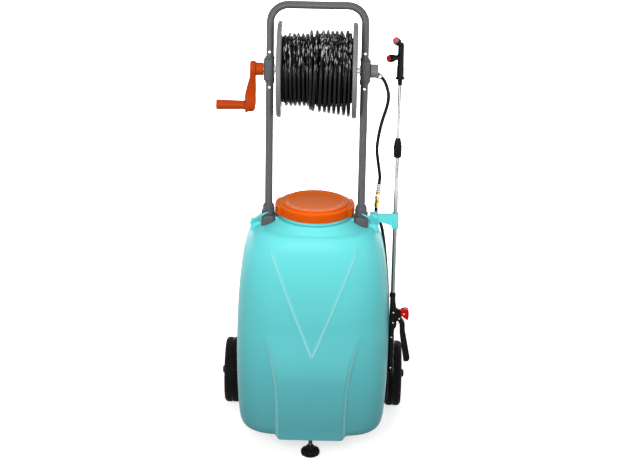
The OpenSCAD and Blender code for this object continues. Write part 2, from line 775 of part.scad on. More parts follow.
module tyre(side) {
    x0 = side > 0 ? wheel_in : -wheel_out;
    r = wheel_d/2;
    shoulder = 8;
    groove_w = 5;
    color([0.1, 0.1, 0.1]) translate([x0, axle_y, axle_z]) rotate([0, 90, 0]) difference() {
        rotate_extrude($fn = 96) polygon([[rim_d/2, 5], [r - shoulder - 6, 0],
            [r - shoulder, 1], [r - 2, shoulder - 2], [r, shoulder + 2],
            [r, tyre_w - shoulder - 2], [r - 2, tyre_w - shoulder + 2], [r - shoulder, tyre_w - 1],
            [r - shoulder - 6, tyre_w], [rim_d/2, tyre_w - 5]]);
        for (i = [0:tread_n - 1]) rotate([0, 0, 360*(i + 0.5)/tread_n])
            translate([r - tread_depth, -groove_w/2, -1])
                cube([tread_depth + 1, groove_w, tyre_w/2 - 3]);
        for (i = [0:tread_n - 1]) rotate([0, 0, 360*i/tread_n])
            translate([r - tread_depth, -groove_w/2, tyre_w/2 + 4])
                cube([tread_depth + 1, groove_w, tyre_w/2]);
    }
}

module rim(side) {
    hub_x0 = boss_end + hub_gap;
    hub_r = axle_d/2 + 10;
    web_x = wheel_in + tyre_w/2 - 4;
    spokes = 5;
    color([0.2, 0.2, 0.2]) translate([0, axle_y, axle_z]) difference() {
        union() {
            x_rod(side*hub_x0, side*cap_in, hub_r);
            difference() {
                x_rod(side*(wheel_in + 5), side*(wheel_out - 5), rim_d/2);
                x_rod(side*(wheel_in + 4), side*(wheel_out - 4), rim_d/2 - 5);
            }
            x_rod(side*web_x, side*(web_x + 5), rim_d/2 - 3);
            for (i = [0:spokes - 1]) rotate([360*i/spokes, 0, 0])
                box(side*(web_x + 4), side*(web_x + 14), -4, 4, hub_r - 2, rim_d/2 - 4);
        }
        x_rod(side*(hub_x0 - 1), side*(cap_in + 1), axle_d/2 + run_gap);
    }
}

// ---- Screw foot ----
module at_foot() {
    translate([0, foot_y, 0]) children();
}

module foot_insert() {
    color([0.8, 0.65, 0.3]) at_foot() translate([0, 0, tank_z]) difference() {
        cylinder(h = insert_h, r = insert_r);
        translate([0, 0, -1]) cylinder(h = insert_h + 2, r = stem_d/2 + run_gap);
    }
}

module foot_pad() {
    r = pad_d/2;
    color([0.08, 0.08, 0.08]) at_foot() difference() {
        rotate_extrude() polygon([[0, 0], [r - 9, 0], [r - 3, 4], [r, 9], [r, 14], [r - 3, 19],
            [r - 10, 23], [stem_d/2 + 5, 26], [stem_d/2 + 3, 33], [0, 33]]);
        translate([0, 0, 10]) cylinder(h = 30, r = stem_d/2 + run_gap);
    }
}

module foot_stem() {
    color([0.3, 0.3, 0.3]) at_foot() translate([0, 0, 10 + pass_gap])
        cylinder(h = tank_z + foot_boss_h - 20 - 10, r = stem_d/2);
}

// ---- Reel ----
module reel_drum() {
    wall = 3;
    color([0.5, 0.5, 0.5]) at_reel() difference() {
        x_rod(-flange_in, flange_in, drum_d/2);
        x_rod(-flange_in - 1, flange_in + 1, drum_d/2 - wall);
    }
}

module flange(side) {
    r = flange_d/2;
    hub_r = shaft_d/2 + 10;
    web = 4;
    ribs = 8;
    color([0.6, 0.6, 0.6]) at_reel() rotate([0, side*90, 0]) translate([0, 0, flange_in])
        difference() {
            union() {
                rotate_extrude($fn = 96) polygon([[0, 0], [r - 3, 0], [r, 3], [r, flange_rim - 5],
                    [r - 5, flange_rim], [r - 12, flange_rim], [r - 15, web], [hub_r + 4, web],
                    [hub_r, flange_rim - 4], [0, flange_rim - 4]]);
                for (i = [0:ribs - 1]) rotate([0, 0, 360*(i + 0.5)/ribs])
                    translate([hub_r, -2.5, web - 1]) cube([r - hub_r - 12, 5, flange_rim - web - 3]);
            }
            translate([0, 0, -1]) cylinder(h = flange_rim + 2, r = shaft_d/2 + seat_gap);
        }
}

module reel_shaft() {
    color([0.75, 0.75, 0.75]) at_reel() x_rod(-shaft_left, shaft_right, shaft_d/2);
}

// The outer layer of hose: one tube that rises out of the layers under it,
// winds across the drum and climbs onto the last turn to its fitting
loop_rings = 24;
wind_gap = 0.6;
core_r = wound_d/2 - hose_d - 0.4;
wind_r = wound_d/2 - hose_d/2;
wind_pitch = (flange_gap - hose_d - 2*wind_gap)/hose_turns;
dive = 13;
climb = hose_d/2 + 8;
climb_in = 5;
end_run = 12;
wind_steps = hose_turns*loop_rings;

function wind_point(i) = let (
        rise = smooth((i - wind_steps + 18)/18),
        sink = 1 - smooth((i - 1)/9),
        a = 360*i/loop_rings,
        r = wind_r - dive*sink + climb*rise)
    [-flange_in + wind_gap + hose_d/2 + wind_pitch*i/loop_rings - climb_in*rise*rise,
        r*cos(a), r*sin(a)];
wind_path = concat([for (i = [0:wind_steps]) wind_point(i)],
    [wind_point(wind_steps) + [0, 0, end_run]]);
wind_end = wind_path[len(wind_path) - 1];
wind_spacing = min([for (i = [0:wind_steps], j = [i + loop_rings/2:wind_steps])
    norm(wind_path[i] - wind_path[j])]);
echo(least_gap_of_the_winding_to_itself = wind_spacing - hose_d);

module reel_hose() {
    color([0.08, 0.08, 0.09]) at_reel() difference() {
        union() {
            x_rod(-flange_in, flange_in, core_r);
            skin(tube_rings(wind_path, hose_d/2, 6, [1, 0, 0]));
        }
        x_rod(-flange_in - 1, flange_in + 1, drum_d/2 + seat_gap);
    }
}

// Ferrule and nut on the end of the wound hose
module hose_end() {
    color([0.8, 0.62, 0.25]) at_reel() translate(wind_end) union() {
        cylinder(h = 20, r = hose_d/2 + 1.5);
        translate([0, 0, 20]) cylinder(h = 4, r = hose_d/2);
        translate([0, 0, 24]) cylinder(h = 14, r = hose_d/2 + 3, $fn = 6);
    }
}

// ---- Crank ----
module crank_arm() {
    bend = crank_step;
    low = crank_r + 21;
    top = crank_hub_d/2 + 4;
    r = 17;
    color([0.93, 0.4, 0.05]) at_reel() difference() {
        union() {
            x_rod(-hub_in, -arm_in, crank_hub_d/2);
            intersection() {
                rotate([90, 0, 0]) linear_extrude(80, center = true)
                    polygon([[-arm_in, top], [-arm_out + 2, top], [-arm_out, top - 2],
                        [-arm_out, -22], [-arm_out - bend/2, -44], [-arm_out - bend, -72],
                        [-arm_out - bend, -low], [-arm_out - bend + 8, -low],
                        [-arm_in - 3, -low + 12], [-arm_in, -86]]);
                rotate([90, 0, 90]) linear_extrude(500, center = true) union() {
                    circle(top);
                    polygon([[-top, 0], [-r + 3, -crank_r*0.6], [-r, -crank_r],
                        [r, -crank_r], [r - 3, -crank_r*0.6], [top, 0]]);
                    translate([0, -crank_r]) circle(r);
                    translate([-4, -low]) square([8, 10]);
                }
            }
        }
        x_rod(-hub_in + 1, -shaft_left, shaft_d/2 + seat_gap);
        translate([0, 0, -crank_r]) x_rod(-arm_out - bend - 1, -arm_in - 4, grip_pin_d/2 + seat_gap);
    }
}

pin_head = 2.5;

module crank_pin() {
    color([0.75, 0.75, 0.75]) translate([0, reel_y, grip_z]) union() {
        x_rod(-arm_in - 5, -grip_in - grip_l + 6, grip_pin_d/2);
        x_rod(-grip_in - grip_l + 6, -grip_in - grip_l + 6 - pin_head, grip_pin_d/2 + 3);
    }
}

module crank_grip() {
    end = grip_in + grip_l;
    color([0.95, 0.42, 0.05]) translate([0, reel_y, grip_z]) difference() {
        rotate([0, -90, 0]) translate([0, 0, grip_in]) rotate_extrude() polygon([[0, 0],
            [grip_d/2 - 1, 0], [grip_d/2 - 1, 4], [grip_d/2 - 2, 6], [grip_d/2, grip_l - 8],
            [grip_d/2, grip_l - 3], [grip_d/2 - 3, grip_l], [0, grip_l]]);
        x_rod(-grip_in + 1, -end - 1, grip_pin_d/2 + run_gap);
        x_rod(-end + 6 + pass_gap, -end - 1, grip_pin_d/2 + 3.5);
    }
}

// ---- Spray gun ----
gun_half = 12;                         // half thickness of the gun's body
grip_x0 = lance_x - 7.5;
grip_x1 = lance_x + 8;
inlet_x = lance_x + 2;
gun_low = gun_top - gun_l;
pivot = [lance_x + 21, gun_top - 77];  // X and Z of the trigger's pin
stem_z = gun_top - 97;
stem_r = 3;
ear_half = 5;
lock_pivot = [lance_x + 34, gun_top - 62];
pin_r = 2;

module in_gun_plane(half) {
    translate([0, lance_y + half, 0]) rotate([90, 0, 0]) linear_extrude(2*half) children();
}

module gun_body() {
    color([0.1, 0.1, 0.1]) difference() {
        union() {
            in_gun_plane(gun_half) polygon([[grip_x0, gun_low + 4], [grip_x0 + 3, gun_low],
                [grip_x1 - 2, gun_low], [grip_x1 + 1, gun_low + 6], [grip_x1, gun_top - 110],
                [grip_x1 + 6, gun_top - 104], [grip_x1 + 6, gun_top - 58],
                [grip_x1 + 3, gun_top - 40], [grip_x1, gun_top - 8], [lance_x + 5, gun_top - 6],
                [lance_x - 6, gun_top - 6], [grip_x0 + 1, gun_top - 10], [grip_x0, gun_top - 60],
                [grip_x0 + 1, gun_top - 150]]);
            in_gun_plane(ear_half) polygon([[grip_x1, gun_top - 92],
                [pivot[0] + 4, pivot[1] - 4], [pivot[0] + 4, pivot[1] + 4],
                [lock_pivot[0] + 4, lock_pivot[1] - 2], [lock_pivot[0] + 4, lock_pivot[1] + 4],
                [grip_x1, gun_top - 46]]);
            translate([lance_x, lance_y, gun_top - 10]) cylinder(h = 10, r = outer_d/2 + 3);
            translate([inlet_x, lance_y, gun_low]) cylinder(h = 8, r = inlet_d/2 + 1.5);
            translate([inlet_x, lance_y, gun_low - inlet_l]) cylinder(h = inlet_l + 1, r = inlet_d/2);
        }
        translate([lance_x, lance_y, gun_top - 30]) cylinder(h = 31, r = outer_d/2 + seat_gap);
        translate([inlet_x, lance_y, gun_low - inlet_l - 1])
            cylinder(h = gun_top - 30 - gun_low + inlet_l + 2, r = 3.5);
        translate([0, lance_y, stem_z]) x_rod(lance_x, grip_x1 + 10, stem_r + run_gap);
        for (p = [pivot, lock_pivot]) translate([p[0], lance_y + 20, p[1]])
            rotate([90, 0, 0]) cylinder(h = 40, r = pin_r + seat_gap);
    }
}

// Cross pin through two cheeks and the ear between them
module cross_pin(p) {
    color([0.75, 0.75, 0.75]) translate([p[0], lance_y + gun_half - 3, p[1]])
        rotate([90, 0, 0]) cylinder(h = 2*gun_half - 6, r = pin_r);
}

module trigger_pin() {
    cross_pin(pivot);
}

module lock_pin() {
    cross_pin(lock_pivot);
}

// Squeeze lever: two cheeks round the gun's ear, one broad blade below
module trigger() {
    x = pivot[0];
    z = pivot[1];
    color([0.14, 0.14, 0.14]) difference() {
        in_gun_plane(9) polygon([[x - 4.5, z - 8], [x - 3.5, z + 4], [x + 4, z + 4],
            [x + 17, z - 15], [x + 18, z - 40], [x + 35, z - 129], [x + 30, z - 136],
            [x + 17, z - 136], [x + 3, z - 50], [x + 1.5, z - 14]]);
        box(x - 20, x + 12, lance_y - ear_half - pass_gap, lance_y + ear_half + pass_gap,
            z - 11.5, z + 12);
        translate([x, lance_y + 20, z]) rotate([90, 0, 0]) cylinder(h = 40, r = pin_r + run_gap);
    }
}

// Thumb latch that swings down over the lever and holds it
module trigger_lock() {
    x = lock_pivot[0];
    z = lock_pivot[1];
    color([0.92, 0.12, 0.08]) difference() {
        in_gun_plane(9) polygon([[x - 8, z - 5], [x - 9, z + 12], [x + 5, z + 15],
            [x + 13, z + 12], [x + 15, z], [x + 13, z - 20], [x + 4, z - 15]]);
        box(x - 20, x + 6.5, lance_y - ear_half - pass_gap, lance_y + ear_half + pass_gap,
            z - 25, z + 9);
        box(x - 20, x - 2, lance_y - ear_half - pass_gap, lance_y + ear_half + pass_gap,
            z - 25, z + 20);
        translate([x, lance_y + 20, z]) rotate([90, 0, 0]) cylinder(h = 40, r = pin_r + run_gap);
    }
}

module valve_stem() {
    color([0.75, 0.75, 0.75]) translate([0, lance_y, stem_z])
        x_rod(lance_x + 5, pivot[0] + 1.5 - pass_gap, stem_r);
}

// ---- Lance tubes, nut and head ----
outer_top = nut_z + nut_h - 12;
inner_r = inner_d/2;

module at_lance(z) {
    translate([lance_x, lance_y, z]) children();
}

module outer_tube() {
    color([0.8, 0.8, 0.8]) at_lance(gun_top - 30) difference() {
        cylinder(h = outer_top - gun_top + 30, r = outer_d/2);
        translate([0, 0, -1]) cylinder(h = outer_top - gun_top + 32, r = inner_r + slide_gap);
    }
}

// Nut that clamps the sliding tube
module collet_nut() {
    flats = 12;
    color([0.1, 0.1, 0.1]) at_lance(nut_z) difference() {
        union() {
            cylinder(h = nut_h - 14, r = nut_d/2);
            translate([0, 0, nut_h - 14]) cylinder(h = 14, r1 = nut_d/2, r2 = nut_d/2 - 4);
            for (i = [0:flats - 1]) rotate([0, 0, 360*i/flats])
                translate([nut_d/2 - 0.5, -0.8, 6]) cube([1.3, 1.6, nut_h - 26]);
        }
        translate([0, 0, -1]) cylinder(h = outer_top - nut_z + 1 + pass_gap, r = outer_d/2 + run_gap);
        translate([0, 0, -1]) cylinder(h = nut_h + 2, r = inner_r + pass_gap);
    }
}

module inner_tube() {
    z0 = nut_z - engage_l;
    color([0.85, 0.85, 0.85]) at_lance(z0) difference() {
        cylinder(h = head_z - z0 + 12, r = inner_r);
        translate([0, 0, -1]) cylinder(h = head_z - z0 + 14, r = inner_r - inner_wall);
    }
}

// Both nozzles lie in one upright plane, turned part of the way to the front
nozzle_turn = 205;                     // direction of that plane, from +X
side_z = 80;                           // side nozzle's axis above the tube's end
top_z = 112;                           // foot of the top nozzle
side_l = 32;
top_l = 20;
nozzle_r = 11;
cap_r = 9;
cap_l = 9;

module at_side_nozzle() {
    at_lance(head_z + side_z) rotate([0, 0, nozzle_turn]) rotate([0, 93, 0]) children();
}

module at_top_nozzle() {
    at_lance(head_z + top_z) rotate([0, 0, nozzle_turn]) rotate([0, 46, 0]) children();
}

module nozzle_head() {
    color([0.1, 0.1, 0.1]) difference() {
        union() {
            at_lance(head_z) cylinder(h = 20, r = 6.5);
            at_lance(head_z + 17) cylinder(h = 5, r = 13);
            at_lance(head_z + 22) cylinder(h = 28, r = 10);
            at_lance(head_z + 50) cylinder(h = top_z - 50, r1 = 9.5, r2 = 8.5);
            at_lance(head_z + top_z) sphere(r = 8.5);
            at_side_nozzle() {
                cylinder(h = 16, r = 7);
                translate([0, 0, 16]) cylinder(h = side_l - 16, r1 = 7, r2 = nozzle_r);
            }
            at_top_nozzle() {
                cylinder(h = 8, r = 8);
                translate([0, 0, 8]) cylinder(h = top_l - 8, r1 = 8, r2 = nozzle_r);
            }
        }
        at_lance(head_z - 1) cylinder(h = 13 + seat_gap, r = inner_r + seat_gap);
        at_lance(head_z) cylinder(h = top_z, r = 3);
        at_side_nozzle() {
            cylinder(h = side_l + 1, r = 2.5);
            translate([0, 0, side_l - 4]) cylinder(h = 5, r = 5 + run_gap);
        }
        at_top_nozzle() {
            cylinder(h = top_l + 1, r = 2.5);
            translate([0, 0, top_l - 4]) cylinder(h = 5, r = 5 + run_gap);
        }
    }
}

// Spray tip with a spigot that turns in the head
module nozzle_cap(l) {
    color([0.8, 0.12, 0.15]) translate([0, 0, l]) difference() {
        union() {
            translate([0, 0, -4 + pass_gap]) cylinder(h = 6, r = 5);
            translate([0, 0, pass_gap]) cylinder(h = cap_l - 3, r = cap_r);
            translate([0, 0, cap_l - 3 + pass_gap]) cylinder(h = 3, r1 = cap_r, r2 = cap_r - 3);
        }
        translate([0, 0, -5]) cylinder(h = cap_l + 10, r = 1);
    }
}

module nozzle_cap_top() {
    at_top_nozzle() nozzle_cap(top_l);
}

module nozzle_cap_side() {
    at_side_nozzle() nozzle_cap(side_l);
}

tank();
filler_strainer();
lance_holder();
handle_socket(LEFT);  // handle_socket_left
handle_socket(RIGHT);  // handle_socket_right
upright(LEFT);  // upright_left
upright(RIGHT);  // upright_right
handle_bar();
reel_bracket(LEFT);  // reel_bracket_left
reel_bracket(RIGHT);  // reel_bracket_right
frame_screws();
reel_bush(LEFT);  // reel_bush_left
reel_bush(RIGHT);  // reel_bush_right
swivel_inlet();
feed_hose();
hose_ferrule();
coupler_body();
coupler_sleeve();
supply_hose();
hose_port();
pump_housing();
axle_arm(LEFT);  // axle_arm_left
axle_arm(RIGHT);  // axle_arm_right
pump_head();
pump_motor();
battery();
charge_socket();
power_switch();
axle();
axle_caps();
foot_insert();
foot_pad();
foot_stem();
lid();
lid_gasket();
reel_drum();
flange(LEFT);  // flange_left
flange(RIGHT);  // flange_right
reel_shaft();
reel_hose();
hose_end();
crank_arm();
crank_pin();
crank_grip();
tyre(LEFT);  // tyre_left
rim(LEFT);  // rim_left
tyre(RIGHT);  // tyre_right
rim(RIGHT);  // rim_right
gun_body();
trigger();
trigger_pin();
trigger_lock();
lock_pin();
valve_stem();
outer_tube();
collet_nut();
inner_tube();
nozzle_head();
nozzle_cap_top();
nozzle_cap_side();
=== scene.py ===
import bpy
import bmesh
import math
import random
from bisect import bisect_right
from mathutils import Matrix, Vector, noise


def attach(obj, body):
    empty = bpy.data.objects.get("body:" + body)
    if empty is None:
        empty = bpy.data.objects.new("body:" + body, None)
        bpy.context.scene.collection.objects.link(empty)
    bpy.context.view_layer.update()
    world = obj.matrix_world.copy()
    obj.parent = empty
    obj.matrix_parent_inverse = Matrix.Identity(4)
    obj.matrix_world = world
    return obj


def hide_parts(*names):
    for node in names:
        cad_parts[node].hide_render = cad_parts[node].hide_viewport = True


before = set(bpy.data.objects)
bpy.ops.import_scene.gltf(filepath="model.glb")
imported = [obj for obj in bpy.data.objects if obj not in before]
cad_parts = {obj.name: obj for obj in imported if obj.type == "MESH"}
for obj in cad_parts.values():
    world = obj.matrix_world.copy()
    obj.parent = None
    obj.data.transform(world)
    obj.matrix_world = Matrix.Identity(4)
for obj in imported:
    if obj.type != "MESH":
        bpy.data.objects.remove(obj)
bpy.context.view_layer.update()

# Shapes are worked out in millimetres, in the same frame as the CAD source.
MM = 0.001
FULL = math.tau
LEFT, RIGHT = -1, 1
SIDES = ((LEFT, "left"), (RIGHT, "right"))

# ---- Places that the dressing shares with the CAD source ----
TANK_Y, BACK_Y = -60, 92
TANK_Z, TANK_H = 68, 612
TANK_HALF, TANK_FRONT, TANK_BACK = 220.5, 174, 155
RING_Z, RING_R = 700, 111
NECK_R = 97
FILLER_Y = -70
LID_Z, LID_R, LID_SKIRT_R, LID_ROOF = 709.6, 106.5, 100.5, 20
REEL_Y, REEL_Z = -62, 1122
HANDLE_HALF, HANDLE_RISE, HANDLE_BEND = 131, 180, 50
HANDLE_LEAN = math.radians(4)
TUBE_R = 11
UPRIGHT_L = 433.06
SOCKET_Y, SOCKET_Z = -92.2, 672
BRACKET_IN, BRACKET_OUT, BRACKET_H = 119, 148, 61
FLANGE_IN, FLANGE_R = 97, 133
HOSE_R = 5
WOUND_X, WOUND_END_X = 91.4, 86.4
CRANK_R = 105
GRIP_X = 200.3
AXLE_Y, AXLE_Z = 150, 100
WHEEL_IN, TYRE_W = 220, 50
FOOT_Y = -205
LANCE_X, LANCE_Y = 229, -80
NUT_Z, HEAD_Z = 879, 1089
COUPLING_LOW, COUPLING_TOP = Vector((176, -10, 702)), Vector((182, -10, 776))
FEED_EXIT, FEED_WAY = Vector((178, -62, 1103.8)), Vector((0.79, 0, -0.613))
HOUSING_BACK, HOUSING_Z, HOUSING_TOP = 188, 25, 300
SWITCH_X, CHARGE_X, SWITCH_Z = 70, -70, 255
# Radii of the bores for the frame tubes and the foot's insert, the shafts and the gun's pins
TUBE_BORE, SHAFT_BORE, PIN_BORE = 11.05, 8.06, 2.05

FEED_ROUTE = (
    (178, -62, 1103.8), (181.6, -62, 1101), (186.2, -61.5, 1094.8),
    (192, -60, 1082), (198, -58, 1062), (199.5, -56, 1043), (197, -53, 1023),
    (192, -50, 1002), (186.5, -46, 982), (179.5, -40, 950), (174, -34, 913),
    (172.5, -28, 880), (177, -20, 842), (182, -14, 808), (183.4, -11, 794),
    (182.8, -10, 786), (182, -10, 776))
SUPPLY_ROUTE = (
    (176, -10, 702), (175.2, -10, 692), (177, -9, 682), (182, -5, 667), (189, 1, 650),
    (195, 10, 628), (201, 18, 590), (206.5, 22, 545), (211, 25, 500), (215, 28, 455),
    (218, 30, 400), (220, 31, 350), (222, 31, 300), (223, 31, 250), (224, 31, 200),
    (224, 31, 160), (224, 31, 120), (224, 31, 95), (222.5, 32, 72), (218, 33, 60),
    (211, 34, 50), (201.5, 35, 43), (190.5, 36, 38.5), (179, 36, 37), (166, 36, 37),
    (152, 40, 37), (139.5, 48, 37), (131, 61, 37), (128, 76, 37), (128, 86, 37))

# ---- Camera ----
CAMERA_AT = Vector((0.0658, -4.6766, 2.4197))
CAMERA_AIM = Vector((-0.0075, -0.060, 0.6468))
CAMERA_ROLL = math.radians(0.92)
CAMERA_LENS, SENSOR_WIDTH = 99.6, 36


def add_camera():
    data = bpy.data.cameras.new("camera")
    data.lens, data.sensor_width = CAMERA_LENS, SENSOR_WIDTH
    camera = bpy.data.objects.new("camera", data)
    bpy.context.scene.collection.objects.link(camera)
    aim = (CAMERA_AIM - CAMERA_AT).to_track_quat("-Z", "Y")
    camera.matrix_world = (Matrix.Translation(CAMERA_AT) @ aim.to_matrix().to_4x4()
                           @ Matrix.Rotation(CAMERA_ROLL, 4, "Z"))
    bpy.context.scene.camera = camera


add_camera()


# ---- Small numbers ----
def ease(t):
    """0 below 0, 1 above 1, and a soft step between."""
    t = min(1.0, max(0.0, t))
    return t*t*(3 - 2*t)


def through(xs, ys):
    """A smooth curve through the points that never overshoots them."""
    steps = [b - a for a, b in zip(xs, xs[1:])]
    slopes = [(b - a)/d for a, b, d in zip(ys, ys[1:], steps)]
    tangents = [slopes[0]]
    for p, q in zip(slopes, slopes[1:]):
        tangents.append(0 if p*q <= 0 else 2*p*q/(p + q))
    tangents.append(slopes[-1])

    def at(x):
        i = min(max(bisect_right(xs, x) - 1, 0), len(steps) - 1)
        u = min(1.0, max(0.0, (x - xs[i])/steps[i]))
        return (ys[i]*(1 + 2*u)*(1 - u)**2 + steps[i]*tangents[i]*u*(1 - u)**2
                + ys[i + 1]*u*u*(3 - 2*u) + steps[i]*tangents[i + 1]*u*u*(u - 1))
    return at


def columns(table):
    """One smooth curve for each column of a table, over its first column."""
    xs = [row[0] for row in table]
    return [through(xs, [row[k] for row in table]) for k in range(1, len(table[0]))]


# ---- Shells: (points, faces) in millimetres ----
def skin(rings, loop=False):
    """Shell over rings of equal count, capped at both ends unless it closes on itself."""
    count, rows = len(rings[0]), len(rings)
    faces = []
    for j in range(rows if loop else rows - 1):
        a, b = j*count, (j + 1) % rows*count
        for k in range(count):
            m = (k + 1) % count
            faces.append((a + k, a + m, b + m, b + k))
    if not loop:
        faces.append(tuple(reversed(range(count))))
        faces.append(tuple(range((rows - 1)*count, rows*count)))
    return [p for ring in rings for p in ring], faces


def placed(shell, matrix):
    """The shell, carried to a place."""
    return [matrix @ Vector(p) for p in shell[0]], shell[1]


def at(x=0, y=0, z=0):
    """A place without a turn."""
    return Matrix.Translation((x, y, z))


def outward(side):
    """Turns Z to run outwards on the left or the right."""
    return Matrix.Rotation(side*math.pi/2, 4, "Y")


def spun(degrees, axis="Z"):
    """A turn about one axis."""
    return Matrix.Rotation(math.radians(degrees), 4, axis)


def polar(radius, turn, z):
    """Point at a radius and a turn about Z, at height z."""
    return Vector((radius*math.cos(turn), radius*math.sin(turn), z))


def facing(direction, where=(0, 0, 0)):
    """Places a shell so that its Z runs along direction."""
    turn = Vector(direction).to_track_quat("Z", "Y").to_matrix().to_4x4()
    return Matrix.Translation(where) @ turn


ALONG_X = Matrix.Rotation(math.pi/2, 4, "Y")
TO_BACK = Matrix.Rotation(-math.pi/2, 4, "X")
TO_FRONT = Matrix.Rotation(math.pi/2, 4, "X")
LEANED = at(0, REEL_Y, REEL_Z) @ Matrix.Rotation(-HANDLE_LEAN, 4, "X")
AT_REEL = at(0, REEL_Y, REEL_Z)
AT_LANCE = at(LANCE_X, LANCE_Y)


def lathe(profile, steps=64, loop=False):
    """Shell turned about Z through (radius, height) pairs."""
    turns = [FULL*k/steps for k in range(steps)]
    return skin([[polar(r, a, z) for a in turns] for r, z in profile], loop)


def rod(radius, z0, z1, steps=48, soft=0.0):
    """Upright cylinder with softened rims."""
    if not soft:
        return lathe([(radius, z0), (radius, z1)], steps)
    ends = [(0.3, 0.0), (0.7, 0.1), (0.93, 0.4), (1.0, 1.0)]
    low = [(radius - soft*(1 - a), z0 + soft*b) for a, b in ends]
    high = [(radius - soft*(1 - a), z1 - soft*b) for a, b in reversed(ends)]
    return lathe(low + high, steps)


def oval(centre, u, v, a, b, power=2.0, steps=48):
    """Ring of a squared oval: half sizes a and b along u and v."""
    ring = []
    for k in range(steps):
        c, s = math.cos(FULL*k/steps), math.sin(FULL*k/steps)
        reach = (abs(c)**power + abs(s)**power)**(-1/power)
        ring.append(Vector(centre) + Vector(u)*(a*c*reach) + Vector(v)*(b*s*reach))
    return ring


def corner_ring(x0, x1, y0, y1, r, z, steps=6):
    """Rectangle with round corners, at height z."""
    ring = []
    for n, (x, y) in enumerate(((x1 - r, y1 - r), (x0 + r, y1 - r),
                                (x0 + r, y0 + r), (x1 - r, y0 + r))):
        for k in range(steps + 1):
            turn = math.pi/2*(n + k/steps)
            ring.append(Vector((x + r*math.cos(turn), y + r*math.sin(turn), z)))
    return ring


def block(x0, x1, y0, y1, z0, z1, r=3.0, edge=1.5, steps=6):
    """Box with round upright edges and softened top and bottom edges."""
    x0, x1 = min(x0, x1), max(x0, x1)
    low, high = [], []
    for k in range(5):
        turn = math.pi/2*k/4
        inset = edge*(1 - math.sin(turn))
        ring = (x0 + inset, x1 - inset, y0 + inset, y1 - inset, max(r - inset, 0.2))
        low.append(corner_ring(*ring, z0 + edge*(1 - math.cos(turn)), steps))
        high.insert(0, corner_ring(*ring, z1 - edge*(1 - math.cos(turn)), steps))
    return skin(low + high)


def rounded(outline, radius, steps=4):
    """Outline whose corners are cut round."""
    made, count = [], len(outline)
    for i, corner in enumerate(outline):
        p = Vector(corner)
        to_last = Vector(outline[i - 1]) - p
        to_next = Vector(outline[(i + 1) % count]) - p
        reach = min(radius, 0.45*to_last.length, 0.45*to_next.length)
        a, b = p + to_last.normalized()*reach, p + to_next.normalized()*reach
        for k in range(steps + 1):
            t = k/steps
            made.append(a*(1 - t)**2 + p*(2*t*(1 - t)) + b*t*t)
    return made


def layers(outlines, ys, loop=False):
    """Shell through outlines in X and Z, each at its own Y."""
    return skin([[Vector((p.x, y, p.y)) for p in outline]
                 for outline, y in zip(outlines, ys)], loop)


def slab(outline, y, half, radius):
    """Outline in X and Z with its corners cut round, given a thickness along Y."""
    return layers([rounded(outline, radius)]*2, (y - half, y + half))


def tangents_of(path):
    """Direction of the way at each point of it."""
    last = len(path) - 1
    return [(path[min(i + 1, last)] - path[max(i - 1, 0)]).normalized()
            for i in range(last + 1)]


def sweep(path, radius, steps=16):
    """Round tube along a path. radius is a number or a function of the share of the way."""
    path = [Vector(p) for p in path]
    side = None
    rings = []
    for i, (p, t) in enumerate(zip(path, tangents_of(path))):
        if side is None:
            side = t.orthogonal().normalized()
        side = (side - t*side.dot(t)).normalized()
        other = t.cross(side)
        r = radius(i/(len(path) - 1)) if callable(radius) else radius
        rings.append(oval(p, side, other, r, r, 2.0, steps))
    return skin(rings)


def glide(points, per_leg=6):
    """Denser points on a smooth line through the given ones."""
    points = [Vector(p) for p in points]
    ghost = [2*points[0] - points[1]] + points + [2*points[-1] - points[-2]]
    made = []
    for i in range(1, len(ghost) - 2):
        a, b, c, d = ghost[i - 1:i + 3]
        for k in range(per_leg):
            t = k/per_leg
            made.append(0.5*(2*b + (c - a)*t + (2*a - 5*b + 4*c - d)*t*t
                             + (3*b - a - 3*c + d)*t**3))
    return made + [points[-1]]


def ring_arc(radius, inner, angle0, angle1, z0, z1, steps):
    """Curved bar about Z between two angles in degrees."""
    half = (radius - inner)/2
    middle = Vector((0, 0, (z0 + z1)/2))
    rings = []
    for k in range(steps + 1):
        turn = math.radians(angle0 + (angle1 - angle0)*k/steps)
        out = Vector((math.cos(turn), math.sin(turn), 0))
        end = min(k, steps - k)/steps
        shrink = 1 - 0.5*(1 - ease(end*8))
        centre = out*(inner + half*(2*shrink - 1) + half*(1 - shrink)) + middle
        rings.append(oval(centre, out, (0, 0, 1), half*shrink,
                          (z1 - z0)/2*(0.8 + 0.2*shrink), 6.0, 32))
    return skin(rings)


# ---- Meshes and pieces ----
# An edge is softened where its faces meet at more than this angle, in degrees
SOFT_EDGE_LIMIT = 32


def as_mesh(name, shell):
    """Mesh in metres from a shell, its faces looking outwards."""
    mesh = bpy.data.meshes.new(name)
    mesh.from_pydata([Vector(p)*MM for p in shell[0]], [], shell[1])
    work = bmesh.new()
    work.from_mesh(mesh)
    bmesh.ops.recalc_face_normals(work, faces=work.faces)
    work.to_mesh(mesh)
    work.free()
    return mesh


def link(name, mesh):
    """An object in the scene that shows the mesh."""
    made = bpy.data.objects.new(name, mesh)
    bpy.context.scene.collection.objects.link(made)
    return made


def carved(name, base, joined=(), cut=()):
    """One closed mesh: base with some shells joined on and others taken away."""
    work = link(name + "-work", as_mesh(name, base))
    tools = []
    for operation, shells in (("UNION", joined), ("DIFFERENCE", cut)):
        for shell in shells:
            tools.append(link(name + "-tool", as_mesh(name + "-tool", shell)))
            step = work.modifiers.new(operation, "BOOLEAN")
            step.operation, step.solver, step.object = operation, "MANIFOLD", tools[-1]
    seen = bpy.context.evaluated_depsgraph_get()
    mesh = bpy.data.meshes.new_from_object(work.evaluated_get(seen))
    for spare in [work, *tools]:
        bpy.data.objects.remove(spare)
    mesh.name = name
    return mesh


